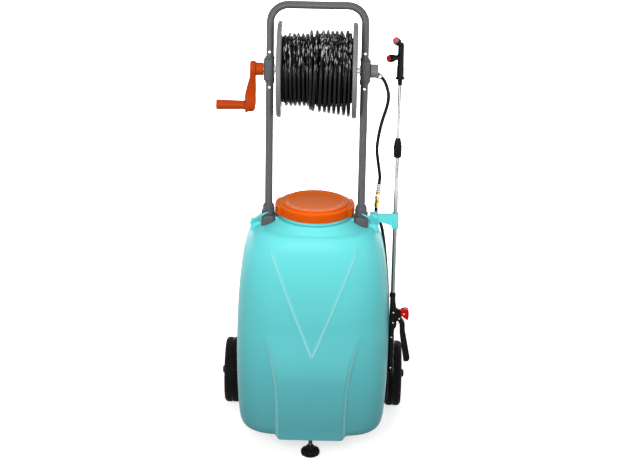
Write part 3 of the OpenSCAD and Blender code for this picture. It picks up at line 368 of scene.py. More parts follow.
def moved(mesh, place):
    """The mesh, carried to a place given in millimetres."""
    mesh.transform(Matrix.Scale(MM, 4) @ place @ Matrix.Scale(1/MM, 4))
    return mesh


def piece(name, shape, body, slot, stands_for=(), edge=0.0, crisp=35, finish=None):
    """A finished piece of the object: its shape, the CAD body it moves with and its finish."""
    mesh = shape if isinstance(shape, bpy.types.Mesh) else as_mesh(name, shape)
    made = link(name, mesh)
    mesh.materials.clear()
    mesh.materials.append(FINISHES[finish or slot])
    mesh.polygons.foreach_set("use_smooth", [True]*len(mesh.polygons))
    mesh.polygons.foreach_set("material_index", [0]*len(mesh.polygons))
    if edge:
        round_edges(made, edge)
    else:
        mesh.set_sharp_from_angle(angle=math.radians(crisp))
    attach(made, body)
    if stands_for:
        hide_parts(*([stands_for] if isinstance(stands_for, str) else stands_for))
    return made


def round_edges(made, width):
    """Softens every edge that is sharper than the limit, by a width in millimetres."""
    bevel = made.modifiers.new("soft edges", "BEVEL")
    bevel.width, bevel.segments = width*MM, 3
    bevel.limit_method, bevel.angle_limit = "ANGLE", math.radians(SOFT_EDGE_LIMIT)
    bevel.use_clamp_overlap = True
    bevel.harden_normals = True


# ---- Finishes ----
def tone(red, green, blue):
    """Colour of a paint chip, 0 to 255, as the shader wants it."""
    return tuple(((c/255 + 0.055)/1.055)**2.4 if c > 10 else c/255/12.92
                 for c in (red, green, blue)) + (1.0,)


def effect(name, inputs, outputs):
    """An empty effect with named sockets. Gives the tree, its input and its output."""
    tree = bpy.data.node_groups.new(name, "ShaderNodeTree")
    for label, kind, value in inputs:
        tree.interface.new_socket(label, in_out="INPUT", socket_type=kind).default_value = value
    for label, kind in outputs:
        tree.interface.new_socket(label, in_out="OUTPUT", socket_type=kind)
    return tree, tree.nodes.new("NodeGroupInput"), tree.nodes.new("NodeGroupOutput")


NUMBER, COLOUR = "NodeSocketFloat", "NodeSocketColor"


def math_node(tree, operation, a, b, c=None):
    """A number worked out from sockets or plain values."""
    node = tree.nodes.new("ShaderNodeMath")
    node.operation = operation
    for socket, value in zip(node.inputs, (a, b, c)):
        if isinstance(value, bpy.types.NodeSocket):
            tree.links.new(value, socket)
        elif value is not None:
            socket.default_value = value
    return node.outputs[0]


def clamped(tree, operation, a, b, c=None):
    """Such a number, held between 0 and 1."""
    result = math_node(tree, operation, a, b, c)
    result.node.use_clamp = True
    return result


def height_of(tree, source, output):
    """Upward part of a direction or a place."""
    given = tree.nodes.new(source)
    split = tree.nodes.new("ShaderNodeSeparateXYZ")
    tree.links.new(given.outputs[output], split.inputs[0])
    return split.outputs["Z"]


def noise_node(tree, scale, detail, stretch=(1, 1, 1), rough=0.5):
    """Noise over the object's own coordinates, stretched along its axes."""
    place = tree.nodes.new("ShaderNodeTexCoord")
    mapping = tree.nodes.new("ShaderNodeMapping")
    mapping.inputs["Scale"].default_value = stretch
    field = tree.nodes.new("ShaderNodeTexNoise")
    tree.links.new(place.outputs["Object"], mapping.inputs["Vector"])
    tree.links.new(mapping.outputs["Vector"], field.inputs["Vector"])
    if isinstance(scale, bpy.types.NodeSocket):
        tree.links.new(scale, field.inputs["Scale"])
    else:
        field.inputs["Scale"].default_value = scale
    field.inputs["Detail"].default_value = detail
    field.inputs["Roughness"].default_value = rough
    return field.outputs["Fac"]


def mix_colour(tree, share, a, b):
    """Colour between a and b by a share."""
    node = tree.nodes.new("ShaderNodeMix")
    node.data_type = "RGBA"
    node.clamp_factor = True
    for socket, value in ((node.inputs[0], share), (node.inputs[6], a), (node.inputs[7], b)):
        if isinstance(value, bpy.types.NodeSocket):
            tree.links.new(value, socket)
        else:
            socket.default_value = value
    return node.outputs[2]


GLOSS_SCALE, CLOUD_SCALE, LINE_SCALE, DUST_SCALE = 38.0, 24.0, 420.0, 55.0
# A face that looks up takes all the dust, an upright one this share of it
DUST_UPRIGHT = 0.4
# Dust lies where the noise, times the gain, passes the start, and roughens the face
DUST_GAIN, DUST_START, DUST_ROUGH = 3.0, 1.1, 0.35


def moulded_effect():
    """Moulded plastic or rubber: drifting tone, uneven gloss and a fine grain."""
    tree, given, out = effect("moulded skin", [
        ("Color", COLOUR, (0.5, 0.5, 0.5, 1)), ("Drift Color", COLOUR, (0.4, 0.4, 0.4, 1)),
        ("Drift", NUMBER, 0.3), ("Drift Scale", NUMBER, 6.0), ("Grain Scale", NUMBER, 900.0),
        ("Roughness", NUMBER, 0.4), ("Gloss Spread", NUMBER, 0.08)],
        [("Color", COLOUR), ("Roughness", NUMBER), ("Height", NUMBER)])
    drift = noise_node(tree, given.outputs["Drift Scale"], 4.0)
    share = math_node(tree, "MULTIPLY", drift, given.outputs["Drift"])
    colour = mix_colour(tree, share, given.outputs["Color"], given.outputs["Drift Color"])
    gloss = noise_node(tree, GLOSS_SCALE, 3.0)
    gloss = math_node(tree, "SUBTRACT", gloss, 0.5)
    gloss = math_node(tree, "MULTIPLY_ADD", gloss, given.outputs["Gloss Spread"],
                      given.outputs["Roughness"])
    grain = noise_node(tree, given.outputs["Grain Scale"], 2.0)
    tree.links.new(colour, out.inputs["Color"])
    tree.links.new(gloss, out.inputs["Roughness"])
    tree.links.new(grain, out.inputs["Height"])
    return tree


def dust_effect():
    """Fine dust that settles on what faces up, in patches."""
    tree, given, out = effect("settled dust", [
        ("Color", COLOUR, (0.5, 0.5, 0.5, 1)), ("Dust Color", COLOUR, (0.5, 0.48, 0.44, 1)),
        ("Amount", NUMBER, 0.2), ("Roughness", NUMBER, 0.4)],
        [("Color", COLOUR), ("Roughness", NUMBER)])
    up = height_of(tree, "ShaderNodeNewGeometry", "Normal")
    up = math_node(tree, "MULTIPLY_ADD", up, 1 - DUST_UPRIGHT, DUST_UPRIGHT)
    patch = noise_node(tree, DUST_SCALE, 5.0, rough=0.65)
    patch = math_node(tree, "MULTIPLY_ADD", patch, DUST_GAIN, -DUST_START)
    share = math_node(tree, "MULTIPLY", up, patch)
    share = clamped(tree, "MULTIPLY", share, given.outputs["Amount"])
    tree.links.new(mix_colour(tree, share, given.outputs["Color"], given.outputs["Dust Color"]),
                   out.inputs["Color"])
    rough = math_node(tree, "MULTIPLY_ADD", share, DUST_ROUGH, given.outputs["Roughness"])
    tree.links.new(rough, out.inputs["Roughness"])
    return tree


def lines_effect():
    """Fine drawn or turned lines along one axis of a metal piece."""
    tree, given, out = effect("drawn lines", [
        ("Color", COLOUR, (0.7, 0.7, 0.7, 1)), ("Line Color", COLOUR, (0.5, 0.5, 0.5, 1)),
        ("Strength", NUMBER, 0.3), ("Roughness", NUMBER, 0.3), ("Spread", NUMBER, 0.15)],
        [("Color", COLOUR), ("Roughness", NUMBER), ("Height", NUMBER)])
    lines = noise_node(tree, LINE_SCALE, 3.0, (1, 1, 0.03))
    cloud = noise_node(tree, CLOUD_SCALE, 3.0)
    share = math_node(tree, "MULTIPLY", lines, given.outputs["Strength"])
    tree.links.new(mix_colour(tree, share, given.outputs["Color"], given.outputs["Line Color"]),
                   out.inputs["Color"])
    both = math_node(tree, "ADD", lines, cloud)
    both = math_node(tree, "SUBTRACT", both, 1.0)
    tree.links.new(math_node(tree, "MULTIPLY_ADD", both, given.outputs["Spread"],
                             given.outputs["Roughness"]), out.inputs["Roughness"])
    tree.links.new(lines, out.inputs["Height"])
    return tree


MOULDED, DUST, LINES = moulded_effect(), dust_effect(), lines_effect()


def placed_effect(tree, group, values):
    """An effect in a material, with its inputs given or linked."""
    node = tree.nodes.new("ShaderNodeGroup")
    node.node_tree = group
    for label, value in values.items():
        if isinstance(value, bpy.types.NodeSocket):
            tree.links.new(value, node.inputs[label])
        else:
            node.inputs[label].default_value = value
    return node


def new_finish(name, constants):
    """A material with constants on its shader. Gives it, its tree and its shader."""
    material = bpy.data.materials.new(name)
    material.use_nodes = True
    shader = material.node_tree.nodes["Principled BSDF"]
    for label, value in constants.items():
        shader.inputs[label].default_value = value
    return material, material.node_tree, shader


def show(tree, shader, colour, roughness, height, depth_mm):
    """Gives the shader its colour, its roughness and a relief of a depth in millimetres."""
    tree.links.new(colour, shader.inputs["Base Color"])
    tree.links.new(roughness, shader.inputs["Roughness"])
    node = tree.nodes.new("ShaderNodeBump")
    node.inputs["Strength"].default_value = 1.0
    node.inputs["Distance"].default_value = depth_mm*MM
    tree.links.new(height, node.inputs["Height"])
    tree.links.new(node.outputs["Normal"], shader.inputs["Normal"])


SHEEN = "Specular IOR Level"
METAL_RELIEF = 0.01


def plastic(name, colour, drift_colour, roughness, grain=(900, 0.03), drift=(0.3, 6),
            spread=0.08, dust=0.0, sheen=0.5, dust_colour=(150, 145, 135)):
    """Moulded plastic, paint or rubber with a grain, drifting tone and some dust."""
    material, tree, shader = new_finish(name, {SHEEN: sheen})
    face = placed_effect(tree, MOULDED, {
        "Color": tone(*colour), "Drift Color": tone(*drift_colour), "Drift": drift[0],
        "Drift Scale": drift[1], "Grain Scale": grain[0], "Roughness": roughness,
        "Gloss Spread": spread})
    top = placed_effect(tree, DUST, {
        "Color": face.outputs["Color"], "Dust Color": tone(*dust_colour),
        "Amount": dust, "Roughness": face.outputs["Roughness"]})
    show(tree, shader, top.outputs["Color"], top.outputs["Roughness"], face.outputs["Height"],
         grain[1])
    return material


def metal(name, colour, line_colour, roughness, strength, spread=0.15):
    """Bare or plated metal with drawn or turned lines."""
    material, tree, shader = new_finish(name, {"Metallic": 1.0})
    face = placed_effect(tree, LINES, {
        "Color": tone(*colour), "Line Color": tone(*line_colour), "Strength": strength,
        "Roughness": roughness, "Spread": spread})
    show(tree, shader, face.outputs["Color"], face.outputs["Roughness"],
         face.outputs["Height"], METAL_RELIEF)
    return material


FINISHES = {
    "orange_plastic": plastic("orange plastic", (224, 86, 12), (210, 74, 7), 0.4,
                              (800, 0.03), (0.4, 8), 0.1, sheen=0.04),
    # A darker copy of the orange plastic: painted shade for the crank lever and its grip
    "orange_in_painted_shade": plastic("orange crank in painted shade", (190, 68, 8), (176, 60, 5), 0.38,
                            (800, 0.03), (0.4, 14), 0.1, sheen=0.06),
    "frame_paint": plastic("grey powder coat", (86, 86, 87), (76, 76, 77), 0.42,
                           (520, 0.06), (0.4, 12), 0.14, 0.03, sheen=0.2),
    "socket_plastic": plastic("dark grey plastic", (79, 80, 84), (67, 68, 72), 0.52,
                              (900, 0.05), (0.4, 14), 0.1, 0.04, sheen=0.25),
    "reel_plastic": plastic("grey reel plastic", (118, 118, 118), (102, 102, 103), 0.46,
                            (900, 0.04), (0.4, 14), 0.1, 0.03, sheen=0.3),
    "black_plastic": plastic("black plastic", (7, 8, 7), (12, 12, 12), 0.4,
                             (1000, 0.05), (0.4, 18), 0.12, 0.02, sheen=0.06),
    "battery_case": plastic("battery case", (28, 28, 31), (40, 40, 43), 0.5,
                            (800, 0.05), (0.4, 14), 0.1),
    "red_plastic": plastic("red plastic", (210, 16, 9), (190, 10, 6), 0.34,
                           (900, 0.03), (0.4, 20), 0.08, sheen=0.07),
    "nylon": plastic("natural nylon", (226, 224, 214), (210, 207, 196), 0.5, (900, 0.03)),
    "hose_rubber": plastic("black hose", (7, 7, 8), (14, 14, 16), 0.3,
                           (340, 0.05), (0.5, 30), 0.16, 0.02, sheen=0.1),
    "pad_rubber": plastic("black rubber", (7, 8, 8), (13, 13, 13), 0.5,
                          (600, 0.08), (0.5, 24), 0.14, 0.04, sheen=0.06),
    "tyre_rubber": plastic("tyre rubber", (9, 9, 10), (16, 16, 15), 0.55,
                           (420, 0.12), (0.6, 22), 0.16, 0.08, 0.07, (52, 50, 46)),
    "brass": metal("turned brass", (232, 186, 104), (190, 138, 62), 0.26, 0.5),
    "nickel": metal("nickel plate", (236, 226, 208), (190, 176, 152), 0.2, 0.35),
    "zinc": metal("zinc plate", (206, 206, 200), (160, 160, 156), 0.34, 0.5),
    "lance_steel": metal("bright steel tube", (112, 116, 116), (92, 95, 95), 0.22, 0.3, 0.05),
    "dark_steel": metal("blackened steel", (74, 74, 74), (46, 46, 46), 0.36, 0.5),
    "pink_plastic": plastic("pink plastic", (222, 88, 110), (204, 56, 80), 0.36,
                            (900, 0.03), (0.4, 30), 0.08, sheen=0.1),
}


# Height in metres under which the tank's colour darkens as painted shade, and the drop to its
# darkest
SHADE_TOP, SHADE_DROP = 0.62, 0.5
# Share of the painted highlight colour along the creases of the V and the lower panel
CREASE_HIGHLIGHT_SHARE = 0.55


def tank_finish():
    """Turquoise polyethylene: darker low down as painted shade, with a painted highlight along its
    moulded creases.
    """
    material, tree, shader = new_finish("turquoise polyethylene", {SHEEN: 0.2})
    height = height_of(tree, "ShaderNodeTexCoord", "Object")
    # Painted shade: the colour darkens below the height, standing in for the weaker light low down
    depth = clamped(tree, "MULTIPLY_ADD", height, -1/SHADE_DROP, SHADE_TOP/SHADE_DROP)
    body = mix_colour(tree, depth, tone(108, 225, 226), tone(90, 172, 178))
    drift = mix_colour(tree, depth, tone(98, 212, 214), tone(80, 156, 162))
    face = placed_effect(tree, MOULDED, {
        "Color": body, "Drift Color": drift, "Drift": 0.45, "Drift Scale": 3.5,
        "Grain Scale": 700.0, "Roughness": 0.42, "Gloss Spread": 0.1})
    # Painted highlight: a paler colour along the creases, standing in for light catching their
    # edges
    crease = tree.nodes.new("ShaderNodeAttribute")
    crease.attribute_name = "crease_highlight"
    share = math_node(tree, "MULTIPLY", crease.outputs["Fac"], CREASE_HIGHLIGHT_SHARE)
    paler = mix_colour(tree, share, face.outputs["Color"], tone(190, 250, 250))
    show(tree, shader, paler, face.outputs["Roughness"], face.outputs["Height"], 0.04)
    return material


FINISHES["tank_plastic"] = tank_finish()


# The lid's colour is painted paler, as painted light from above, where the upward part of its
# normal, times the gain, passes the start
TOP_LIGHT_GAIN, TOP_LIGHT_START = 3, 1.9


def lid_finish():
    """Orange plastic, painted paler where the lid faces up: painted light from above."""
    material, tree, shader = new_finish("orange lid", {SHEEN: 0.3, "IOR": 1.15})
    up = height_of(tree, "ShaderNodeNewGeometry", "Normal")
    painted_top_light = clamped(tree, "MULTIPLY_ADD", up, TOP_LIGHT_GAIN, -TOP_LIGHT_START)
    face = placed_effect(tree, MOULDED, {
        # Painted light: faces that look up get the paler orange
        "Color": mix_colour(tree, painted_top_light, tone(224, 86, 12), tone(255, 120, 22)),
        "Drift Color": mix_colour(tree, painted_top_light, tone(210, 74, 7), tone(250, 108, 15)),
        "Drift": 0.4, "Drift Scale": 8.0, "Grain Scale": 800.0, "Roughness": 0.4,
        "Gloss Spread": 0.1})
    show(tree, shader, face.outputs["Color"], face.outputs["Roughness"],
         face.outputs["Height"], 0.03)
    return material


FINISHES["lid_orange"] = lid_finish()


# A streak of the noise is painted pale, as a painted glint, where it, times the gain, passes the
# start
GLINT_STRETCH, GLINT_GAIN, GLINT_START = (280, 70, 38), 9, 4.85
# Height in metres above which the painted glints set in, and the rise to their full strength
GLINT_LOW, GLINT_BLEND = (REEL_Z + 12)*MM, 0.04


def wound_finish():
    """Glossy black hose with painted glints along the turns that lie uppermost at rest."""
    material, tree, shader = new_finish("wound black hose", {SHEEN: 0.1})
    streaks = noise_node(tree, 1.0, 3.0, GLINT_STRETCH)
    painted_glint = clamped(tree, "MULTIPLY_ADD", streaks, GLINT_GAIN, -GLINT_START)
    height = height_of(tree, "ShaderNodeTexCoord", "Object")
    upper = clamped(tree, "MULTIPLY_ADD", height, 1/GLINT_BLEND, -GLINT_LOW/GLINT_BLEND)
    share = math_node(tree, "MULTIPLY", painted_glint, upper)
    face = placed_effect(tree, MOULDED, {
        # Painted glints: pale colour standing in for highlights on the upper turns
        "Color": mix_colour(tree, share, tone(4, 4, 5), tone(200, 201, 204)),
        "Drift Color": tone(7, 7, 8), "Drift": 0.3, "Drift Scale": 30.0,
        "Grain Scale": 260.0, "Roughness": 0.24, "Gloss Spread": 0.12})
    show(tree, shader, face.outputs["Color"], face.outputs["Roughness"],
         face.outputs["Height"], 0.12)
    return material


FINISHES["wound_rubber"] = wound_finish()


# ---- Shells and meshes put together ----
def together(*shells):
    """Several shells as one."""
    points, faces = [], []
    for shell in shells:
        start = len(points)
        points += list(shell[0])
        faces += [tuple(start + i for i in face) for face in shell[1]]
    return points, faces


def shell_of(mesh):
    """The mesh as a shell again."""
    return ([v.co/MM for v in mesh.vertices], [tuple(f.vertices) for f in mesh.polygons])


def repeated(name, mesh, places):
    """One mesh with a copy of the given one at each place."""
    shell = shell_of(mesh)
    return as_mesh(name, together(*[placed(shell, place) for place in places]))


NUT_SIDES = 6


def shaped(rows, steps=48):
    """Upright shell of (height, round radius, hexagon radius or 0) rows."""
    rings = []
    for z, r, hexagon in rows:
        ring = []
        for k in range(steps):
            turn = FULL*k/steps
            reach = r
            if hexagon:
                off = turn % (FULL/NUT_SIDES) - math.pi/NUT_SIDES
                reach = min(r, hexagon*math.cos(math.pi/NUT_SIDES)/math.cos(off))
            ring.append(polar(reach, turn, z))
        rings.append(ring)
    return skin(rings)


def fluted(rows, count, steps, share=0.5, loop=False):
    """Upright shell of (radius, height, rib height) rows, with count ribs round it."""
    rings = []
    for r, z, rib in rows:
        ring = []
        for k in range(steps):
            turn = FULL*k/steps
            wave = ease((math.cos(turn*count) - 1 + 2*share)/0.6 + 0.5)
            ring.append(polar(r + rib*wave, turn, z))
        rings.append(ring)
    return skin(rings, loop)


def pan_head(radius, height):
    """Round screw head with a cross recess, its foot at the origin."""
    dome = lathe([(radius, 0), (radius, height*0.3), (radius*0.95, height*0.55),
                  (radius*0.8, height*0.8), (radius*0.55, height*0.95), (0.2, height)], 40)
    arm, wide = radius*0.5, radius*0.11
    cross = [block(-arm, arm, -wide, wide, height*0.4, height + 1, 0.3, 0.1, 2),
             block(-wide, wide, -arm, arm, height*0.4, height + 1, 0.3, 0.1, 2)]
    return carved("pan head", dome, cut=cross)


# ---- Hoses and their coupling ----
COUPLING = facing(COUPLING_TOP - COUPLING_LOW, COUPLING_LOW)
COUPLING_L = (COUPLING_TOP - COUPLING_LOW).length
FERRULE_L = 27


def add_hose(name, route, stands_for):
    """A free hose along its route. Gives the piece and its path in metres."""
    path = glide(route)
    made = piece(name, sweep(path, HOSE_R, 20), "trolley", "hose_rubber", stands_for)
    return made, [tuple(p*MM) for p in path]


def add_coupling():
    """Crimped ferrule, hexagon body and the sleeve that is drawn back."""
    low = COUPLING_L - FERRULE_L
    core = placed(lathe([(5.6, low), (6.1, low + 0.5), (6.1, COUPLING_L - 1.5),
                         (5.4, COUPLING_L)], 40), COUPLING)
    rings = []
    for i in range(5):
        z = low + 1.5 + i*5.1
        rings.append(placed(lathe([(5.9, z), (6.8, z), (7.0, z + 0.3), (7.0, z + 2.7),
                                   (6.8, z + 3.0), (5.9, z + 3.0)], 40, True), COUPLING))
    body = shaped([(0, 5.7, 0), (0.5, 6.4, 0), (4.8, 6.5, 0), (5, 7.5, 8.6), (6.2, 8.6, 8.6),
                   (14.8, 8.6, 8.6), (16, 7.5, 8.6), (16.2, 7.5, 0), (20.6, 7.5, 0),
                   (21, 7.0, 0), (21.2, 6.5, 0), (40.3, 6.5, 0), (43.4, 6.5, 0),
                   (43.6, 7.4, 0), (46.6, 7.4, 0), (low, 6.6, 0)])
    sleeve = lathe([(6.56, 26), (8.0, 26), (8.5, 26.5), (8.5, 28.6), (8.15, 29), (8.15, 29.6),
                    (8.5, 30), (8.5, 31.2), (8.15, 31.6), (8.15, 32.2), (8.5, 32.6),
                    (8.5, 35.5), (9.2, 36), (9.5, 36.4), (9.5, 39.4), (9.1, 40), (6.56, 40)],
                   56, True)
    return [
        piece("ferrule-core", core, "trolley", "hose_rubber"),
        piece("ferrule-rings", together(*rings), "trolley", "zinc", "hose_ferrule"),
        piece("coupling-body", placed(body, COUPLING), "trolley", "brass", "coupler_body",
              crisp=25),
        piece("coupling-sleeve", placed(sleeve, COUPLING), "coupler_sleeve", "nickel",
              "coupler_sleeve")]


def add_hoses():
    feed, feed_path = add_hose("feed-line", FEED_ROUTE, "feed_hose")
    supply, supply_path = add_hose("supply-line", SUPPLY_ROUTE, "supply_hose")
    coupling = add_coupling()


add_hoses()


# ---- Tank ----
# Height share, then half width, front depth and back depth as shares
TANK_ROWS = (
    (0, .8, .885, .84), (.006, .863, .93, .9), (.019, .915, .96, .94), (.041, .946, .98, .97),
    (.079, .965, .988, .985), (.143, .978, .995, .99), (.27, .995, 1, 1), (.397, 1, 1, 1),
    (.516, .995, 1, 1), (.635, .98, .99, .99), (.746, .954, .975, .975), (.825, .926, .96, .96),
    (.889, .892, .942, .94), (.929, .858, .925, .92), (.96, .818, .905, .89),
    (.981, .769, .88, .85), (.994, .71, .845, .8), (1, .63, .79, .73))
HALF_AT, FRONT_AT, BACK_AT = columns(TANK_ROWS)
SQUARENESS, LOW_SQUARENESS = 3, 4.5
PANEL_PROUD, PANEL_HALF = 16, 97
VEE_PROUD, VEE_HALF, VEE_LOW, VEE_HIGH = 2.6, 130, 0.424, 0.98
PANEL_CREASE, VEE_CREASE = 17, 10
BEAD_HIGH, BEAD_WIDE = 1.3, 3.4
BACK_BLEND = 6
# Neck outside, over its rim and down inside: radius and height
NECK_ROWS = (
    (98.5, 700.3), (97.4, 701), (NECK_R, 703), (NECK_R, 708), (NECK_R, 716), (NECK_R, 724.6),
    (96.4, 726.4), (95, 727), (92.6, 727), (91.4, 726.4), (91, 725), (91, 640))
FIN_HALVES = ((5, 9), (4.2, 7), (3.2, 5), (2.2, 4), (0.6, 2))


def edges_at(t):
    """Half widths of the lower panel and of the V."""
    return (PANEL_HALF + 45*min(1, t/0.54)**3,
            VEE_HALF*max(0.0, (t - VEE_LOW)/(VEE_HIGH - VEE_LOW))**0.95)


def crease_share(x, t):
    """How near a point of the front lies to the V's edge or the panel's edge, 0 to 1."""
    panel_edge, vee_edge = edges_at(t)
    vee = ease((t - VEE_LOW + 0.012)/0.03)*(1 - ease((t - 0.9)/0.06))
    panel = 0.8*(1 - ease((t - 0.36)/0.16))
    return max(panel*math.exp(-((abs(x) - panel_edge)/BEAD_WIDE)**2),
               vee*math.exp(-((abs(x) - vee_edge)/BEAD_WIDE)**2))


def front_relief(x, t):
    """How far the lower panel, the V and their beads stand out of the tank's front."""
    panel_edge, vee_edge = edges_at(t)
    panel = (1 - ease((t - 0.3)/0.25))*ease((panel_edge - abs(x))/PANEL_CREASE + 0.5)
    proud = PANEL_PROUD + TANK_FRONT*max(0, FRONT_AT(0.041) - FRONT_AT(t))
    vee_fade = ease((t - VEE_LOW)/0.04)*(1 - ease((t - 0.93)/0.06))
    return (proud*panel + BEAD_HIGH*crease_share(x, t)
            + VEE_PROUD*vee_fade*ease((vee_edge - abs(x))/VEE_CREASE + 0.5))


def crease_highlight(x, y, z):
    """Share of the painted highlight colour at a point of the tank."""
    t = (z - TANK_Z)/TANK_H
    return crease_share(x, t) if y < TANK_Y - 60 and 0 <= t <= 1 else 0.0


def tank_point(turn, t):
    """Point of the tank's wall at a turn and a share of its height."""
    c, s = math.cos(turn), math.sin(turn)
    deep, power = TANK_BACK*BACK_AT(t), SQUARENESS
    if s < 0:
        deep = TANK_FRONT*FRONT_AT(t)
        power += (LOW_SQUARENESS - SQUARENESS)*(1 - min(1, max(0, 2*t - 0.1)))
    reach = ((abs(c)/(TANK_HALF*HALF_AT(t)))**power + (abs(s)/deep)**power)**(-1/power)
    x, y = reach*c, reach*s
    y = TANK_Y + y - front_relief(x, t)*ease(-y/TANK_FRONT*2.5 - 0.5)
    short = BACK_Y - y
    if abs(short) < BACK_BLEND:
        short = (short + BACK_BLEND)**2/(4*BACK_BLEND)
    return Vector((x, BACK_Y - max(0, short), TANK_Z + TANK_H*t))


def deck_point(turn, s):
    """Point of the deck, by its share of the way from the edge to the neck."""
    edge = tank_point(turn, 1)
    ring = polar(RING_R, turn, RING_Z) + Vector((0, FILLER_Y, 0))
    return edge.lerp(ring, s) + Vector((0, 0, -6*s*(1 - s)))


def tank_shell():
    """Wall, deck and neck, finer in front where the relief is."""
    turns = ([math.pi*k/72 for k in range(72)]
             + [math.pi + math.pi*k/216 for k in range(216)])
    levels = [0, .003, .006, .012, .019, .03, .041, .055, .067, .079]
    levels += [.088 + .0093*k for k in range(90)]
    levels += [.929, .938, .947, .955, .963, .971, .979, .986, .991, .995, .998, 1]
    rings = [[tank_point(a, t) for a in turns] for t in levels]
    rings += [[deck_point(a, s) for a in turns]
              for s in (.04, .1, .18, .28, .4, .52, .64, .76, .86, .94, .985, 1)]
    middle = Vector((0, FILLER_Y, 0))
    rings += [[polar(r, a, z) + middle for a in turns] for r, z in NECK_ROWS]
    return skin(rings)


def blade(points, halves):
    """Thin upstanding fin along a path: halves are (half thickness, half depth) along it."""
    path = glide(points, 8)
    ways = tangents_of(path)
    thick, deep = columns([(i/(len(halves) - 1), *pair) for i, pair in enumerate(halves)])
    rings = []
    for i, (p, way) in enumerate(zip(path, ways)):
        share = i/(len(path) - 1)
        side = Vector((0, 1, 0))
        rings.append(oval(p, way.cross(side).normalized(), side, thick(share), deep(share),
                          3.0, 24))
    return skin(rings)


def neck_thread():
    """Two turns of thread round the neck, thin at both ends."""
    path = [polar(NECK_R + 0.1, FULL*k/60, 707 + 6*k/60) for k in range(2*60 + 1)]
    thread = sweep(path, lambda share: 0.3 + 1.5*ease(min(share, 1 - share)*14), 8)
    return placed(thread, at(0, FILLER_Y))


def add_tank():
    bosses = [block(side*150, side*182, LANCE_Y - 18, LANCE_Y + 18, 640, 684, 6, 3)
              for side in (LEFT, RIGHT)]
    lugs = [block(side*103, side*117, -110, -98, 684, 703, 3, 2) for side in (LEFT, RIGHT)]
    pockets = [block(side*HANDLE_HALF - 20.3, side*HANDLE_HALF + 20.3, SOCKET_Y - 23.3,
                     SOCKET_Y + 23.3, SOCKET_Z, 760, 6.3, 0.3) for side in (LEFT, RIGHT)]
    insert = placed(rod(TUBE_BORE, 0, 29, 48), at(0, FOOT_Y, TANK_Z - 1))
    mesh = carved("tank", tank_shell(), bosses + lugs, pockets + [insert])
    # Each point's share of the painted crease highlight
    light = mesh.attributes.new("crease_highlight", "FLOAT", "POINT")
    light.data.foreach_set("value", [crease_highlight(*(v.co/MM)) for v in mesh.vertices])
    piece("tank-moulding", mesh, "trolley", "tank_plastic", "tank", crisp=28)
    fins = (((-181, -92, 676), (-171, -102, 692), (-159.4, -113, 703.3), (-144.5, -120, 714.8),
             (-129.2, -119, 721)),
            ((181, -92, 684), (171, -104, 697), (160.4, -114, 706), (146, -120, 715.5),
             (131.6, -118.5, 721.7)))
    piece("tank-fins", together(*[blade(fin, FIN_HALVES) for fin in fins]), "trolley",
          "tank_plastic")
    seams = []
    for turn in (0, math.pi):
        path = [tank_point(turn, 0.012 + 0.988*k/90) for k in range(91)]
        path += [deck_point(turn, 0.1*k) for k in range(1, 5)]
        seams.append(sweep(path, lambda share: 0.2 + 0.5*ease(min(share, 1 - share)*20), 8))
    piece("tank-parting-lines", together(*seams), "trolley", "tank_plastic")
    piece("neck-thread", neck_thread(), "trolley", "tank_plastic")


add_tank()


# ---- Lid ----
def add_lid():
    cap = lathe([(1, LID_ROOF), (LID_SKIRT_R - 1.5, LID_ROOF), (LID_SKIRT_R, LID_ROOF - 1.5),
                 (LID_SKIRT_R, 0.7), (101.2, 0), (105.6, 0), (106.3, 0.5), (LID_R, 1.4),
                 (LID_R, 20), (106.0, 22.4), (104.6, 24.6), (102.4, 25.8), (99, 26.1),
                 (95.6, 26.2), (94.9, 26.8), (94.4, 28.4), (93.2, 30), (91.2, 30.8), (89, 31),
                 (84, 31), (81.8, 30.7), (79.4, 29.7), (77, 28.8), (73, 28.3), (60, 28),
                 (40, 27.7), (20, 27.5), (1, 27.4)], 288)
    wings = [ring_arc(113.5, 101.5, turn - 28, turn + 28, 0.6, 24, 40) for turn in (0, 180)]
    mesh = moved(carved("lid", cap, wings), at(0, FILLER_Y, LID_Z))
    piece("lid-cap", mesh, "lid", "orange_plastic", "lid", crisp=30, finish="lid_orange")


add_lid()


# ---- Handle and reel stand ----
def add_handle():
    for side, word in SIDES:
        x = side*HANDLE_HALF
        leg = placed(rod(TUBE_R, 0, UPRIGHT_L - BRACKET_H/2 - 0.1, 64),
                     LEANED @ at(x, 0, -UPRIGHT_L))
        piece("upright-tube-" + word, leg, "trolley", "frame_paint", "upright_" + word)
    flat = HANDLE_RISE - HANDLE_BEND
    rise = [BRACKET_H/2 + 0.1 + (flat - BRACKET_H/2)*k/8 for k in range(8)]
    path = [Vector((-HANDLE_HALF, 0, z)) for z in rise]
    for side, first, last in ((LEFT, 180, 90), (RIGHT, 90, 0)):
        for k in range(25):
            turn = math.radians(first + (last - first)*k/24)
            path.append(Vector((side*(HANDLE_HALF - HANDLE_BEND) + HANDLE_BEND*math.cos(turn), 0,
                                flat + HANDLE_BEND*math.sin(turn))))
    path += [Vector((HANDLE_HALF, 0, z)) for z in reversed(rise)]
    piece("top-bar", placed(sweep(path, TUBE_R, 48), LEANED), "trolley", "frame_paint",
          "handle_bar", crisp=50)


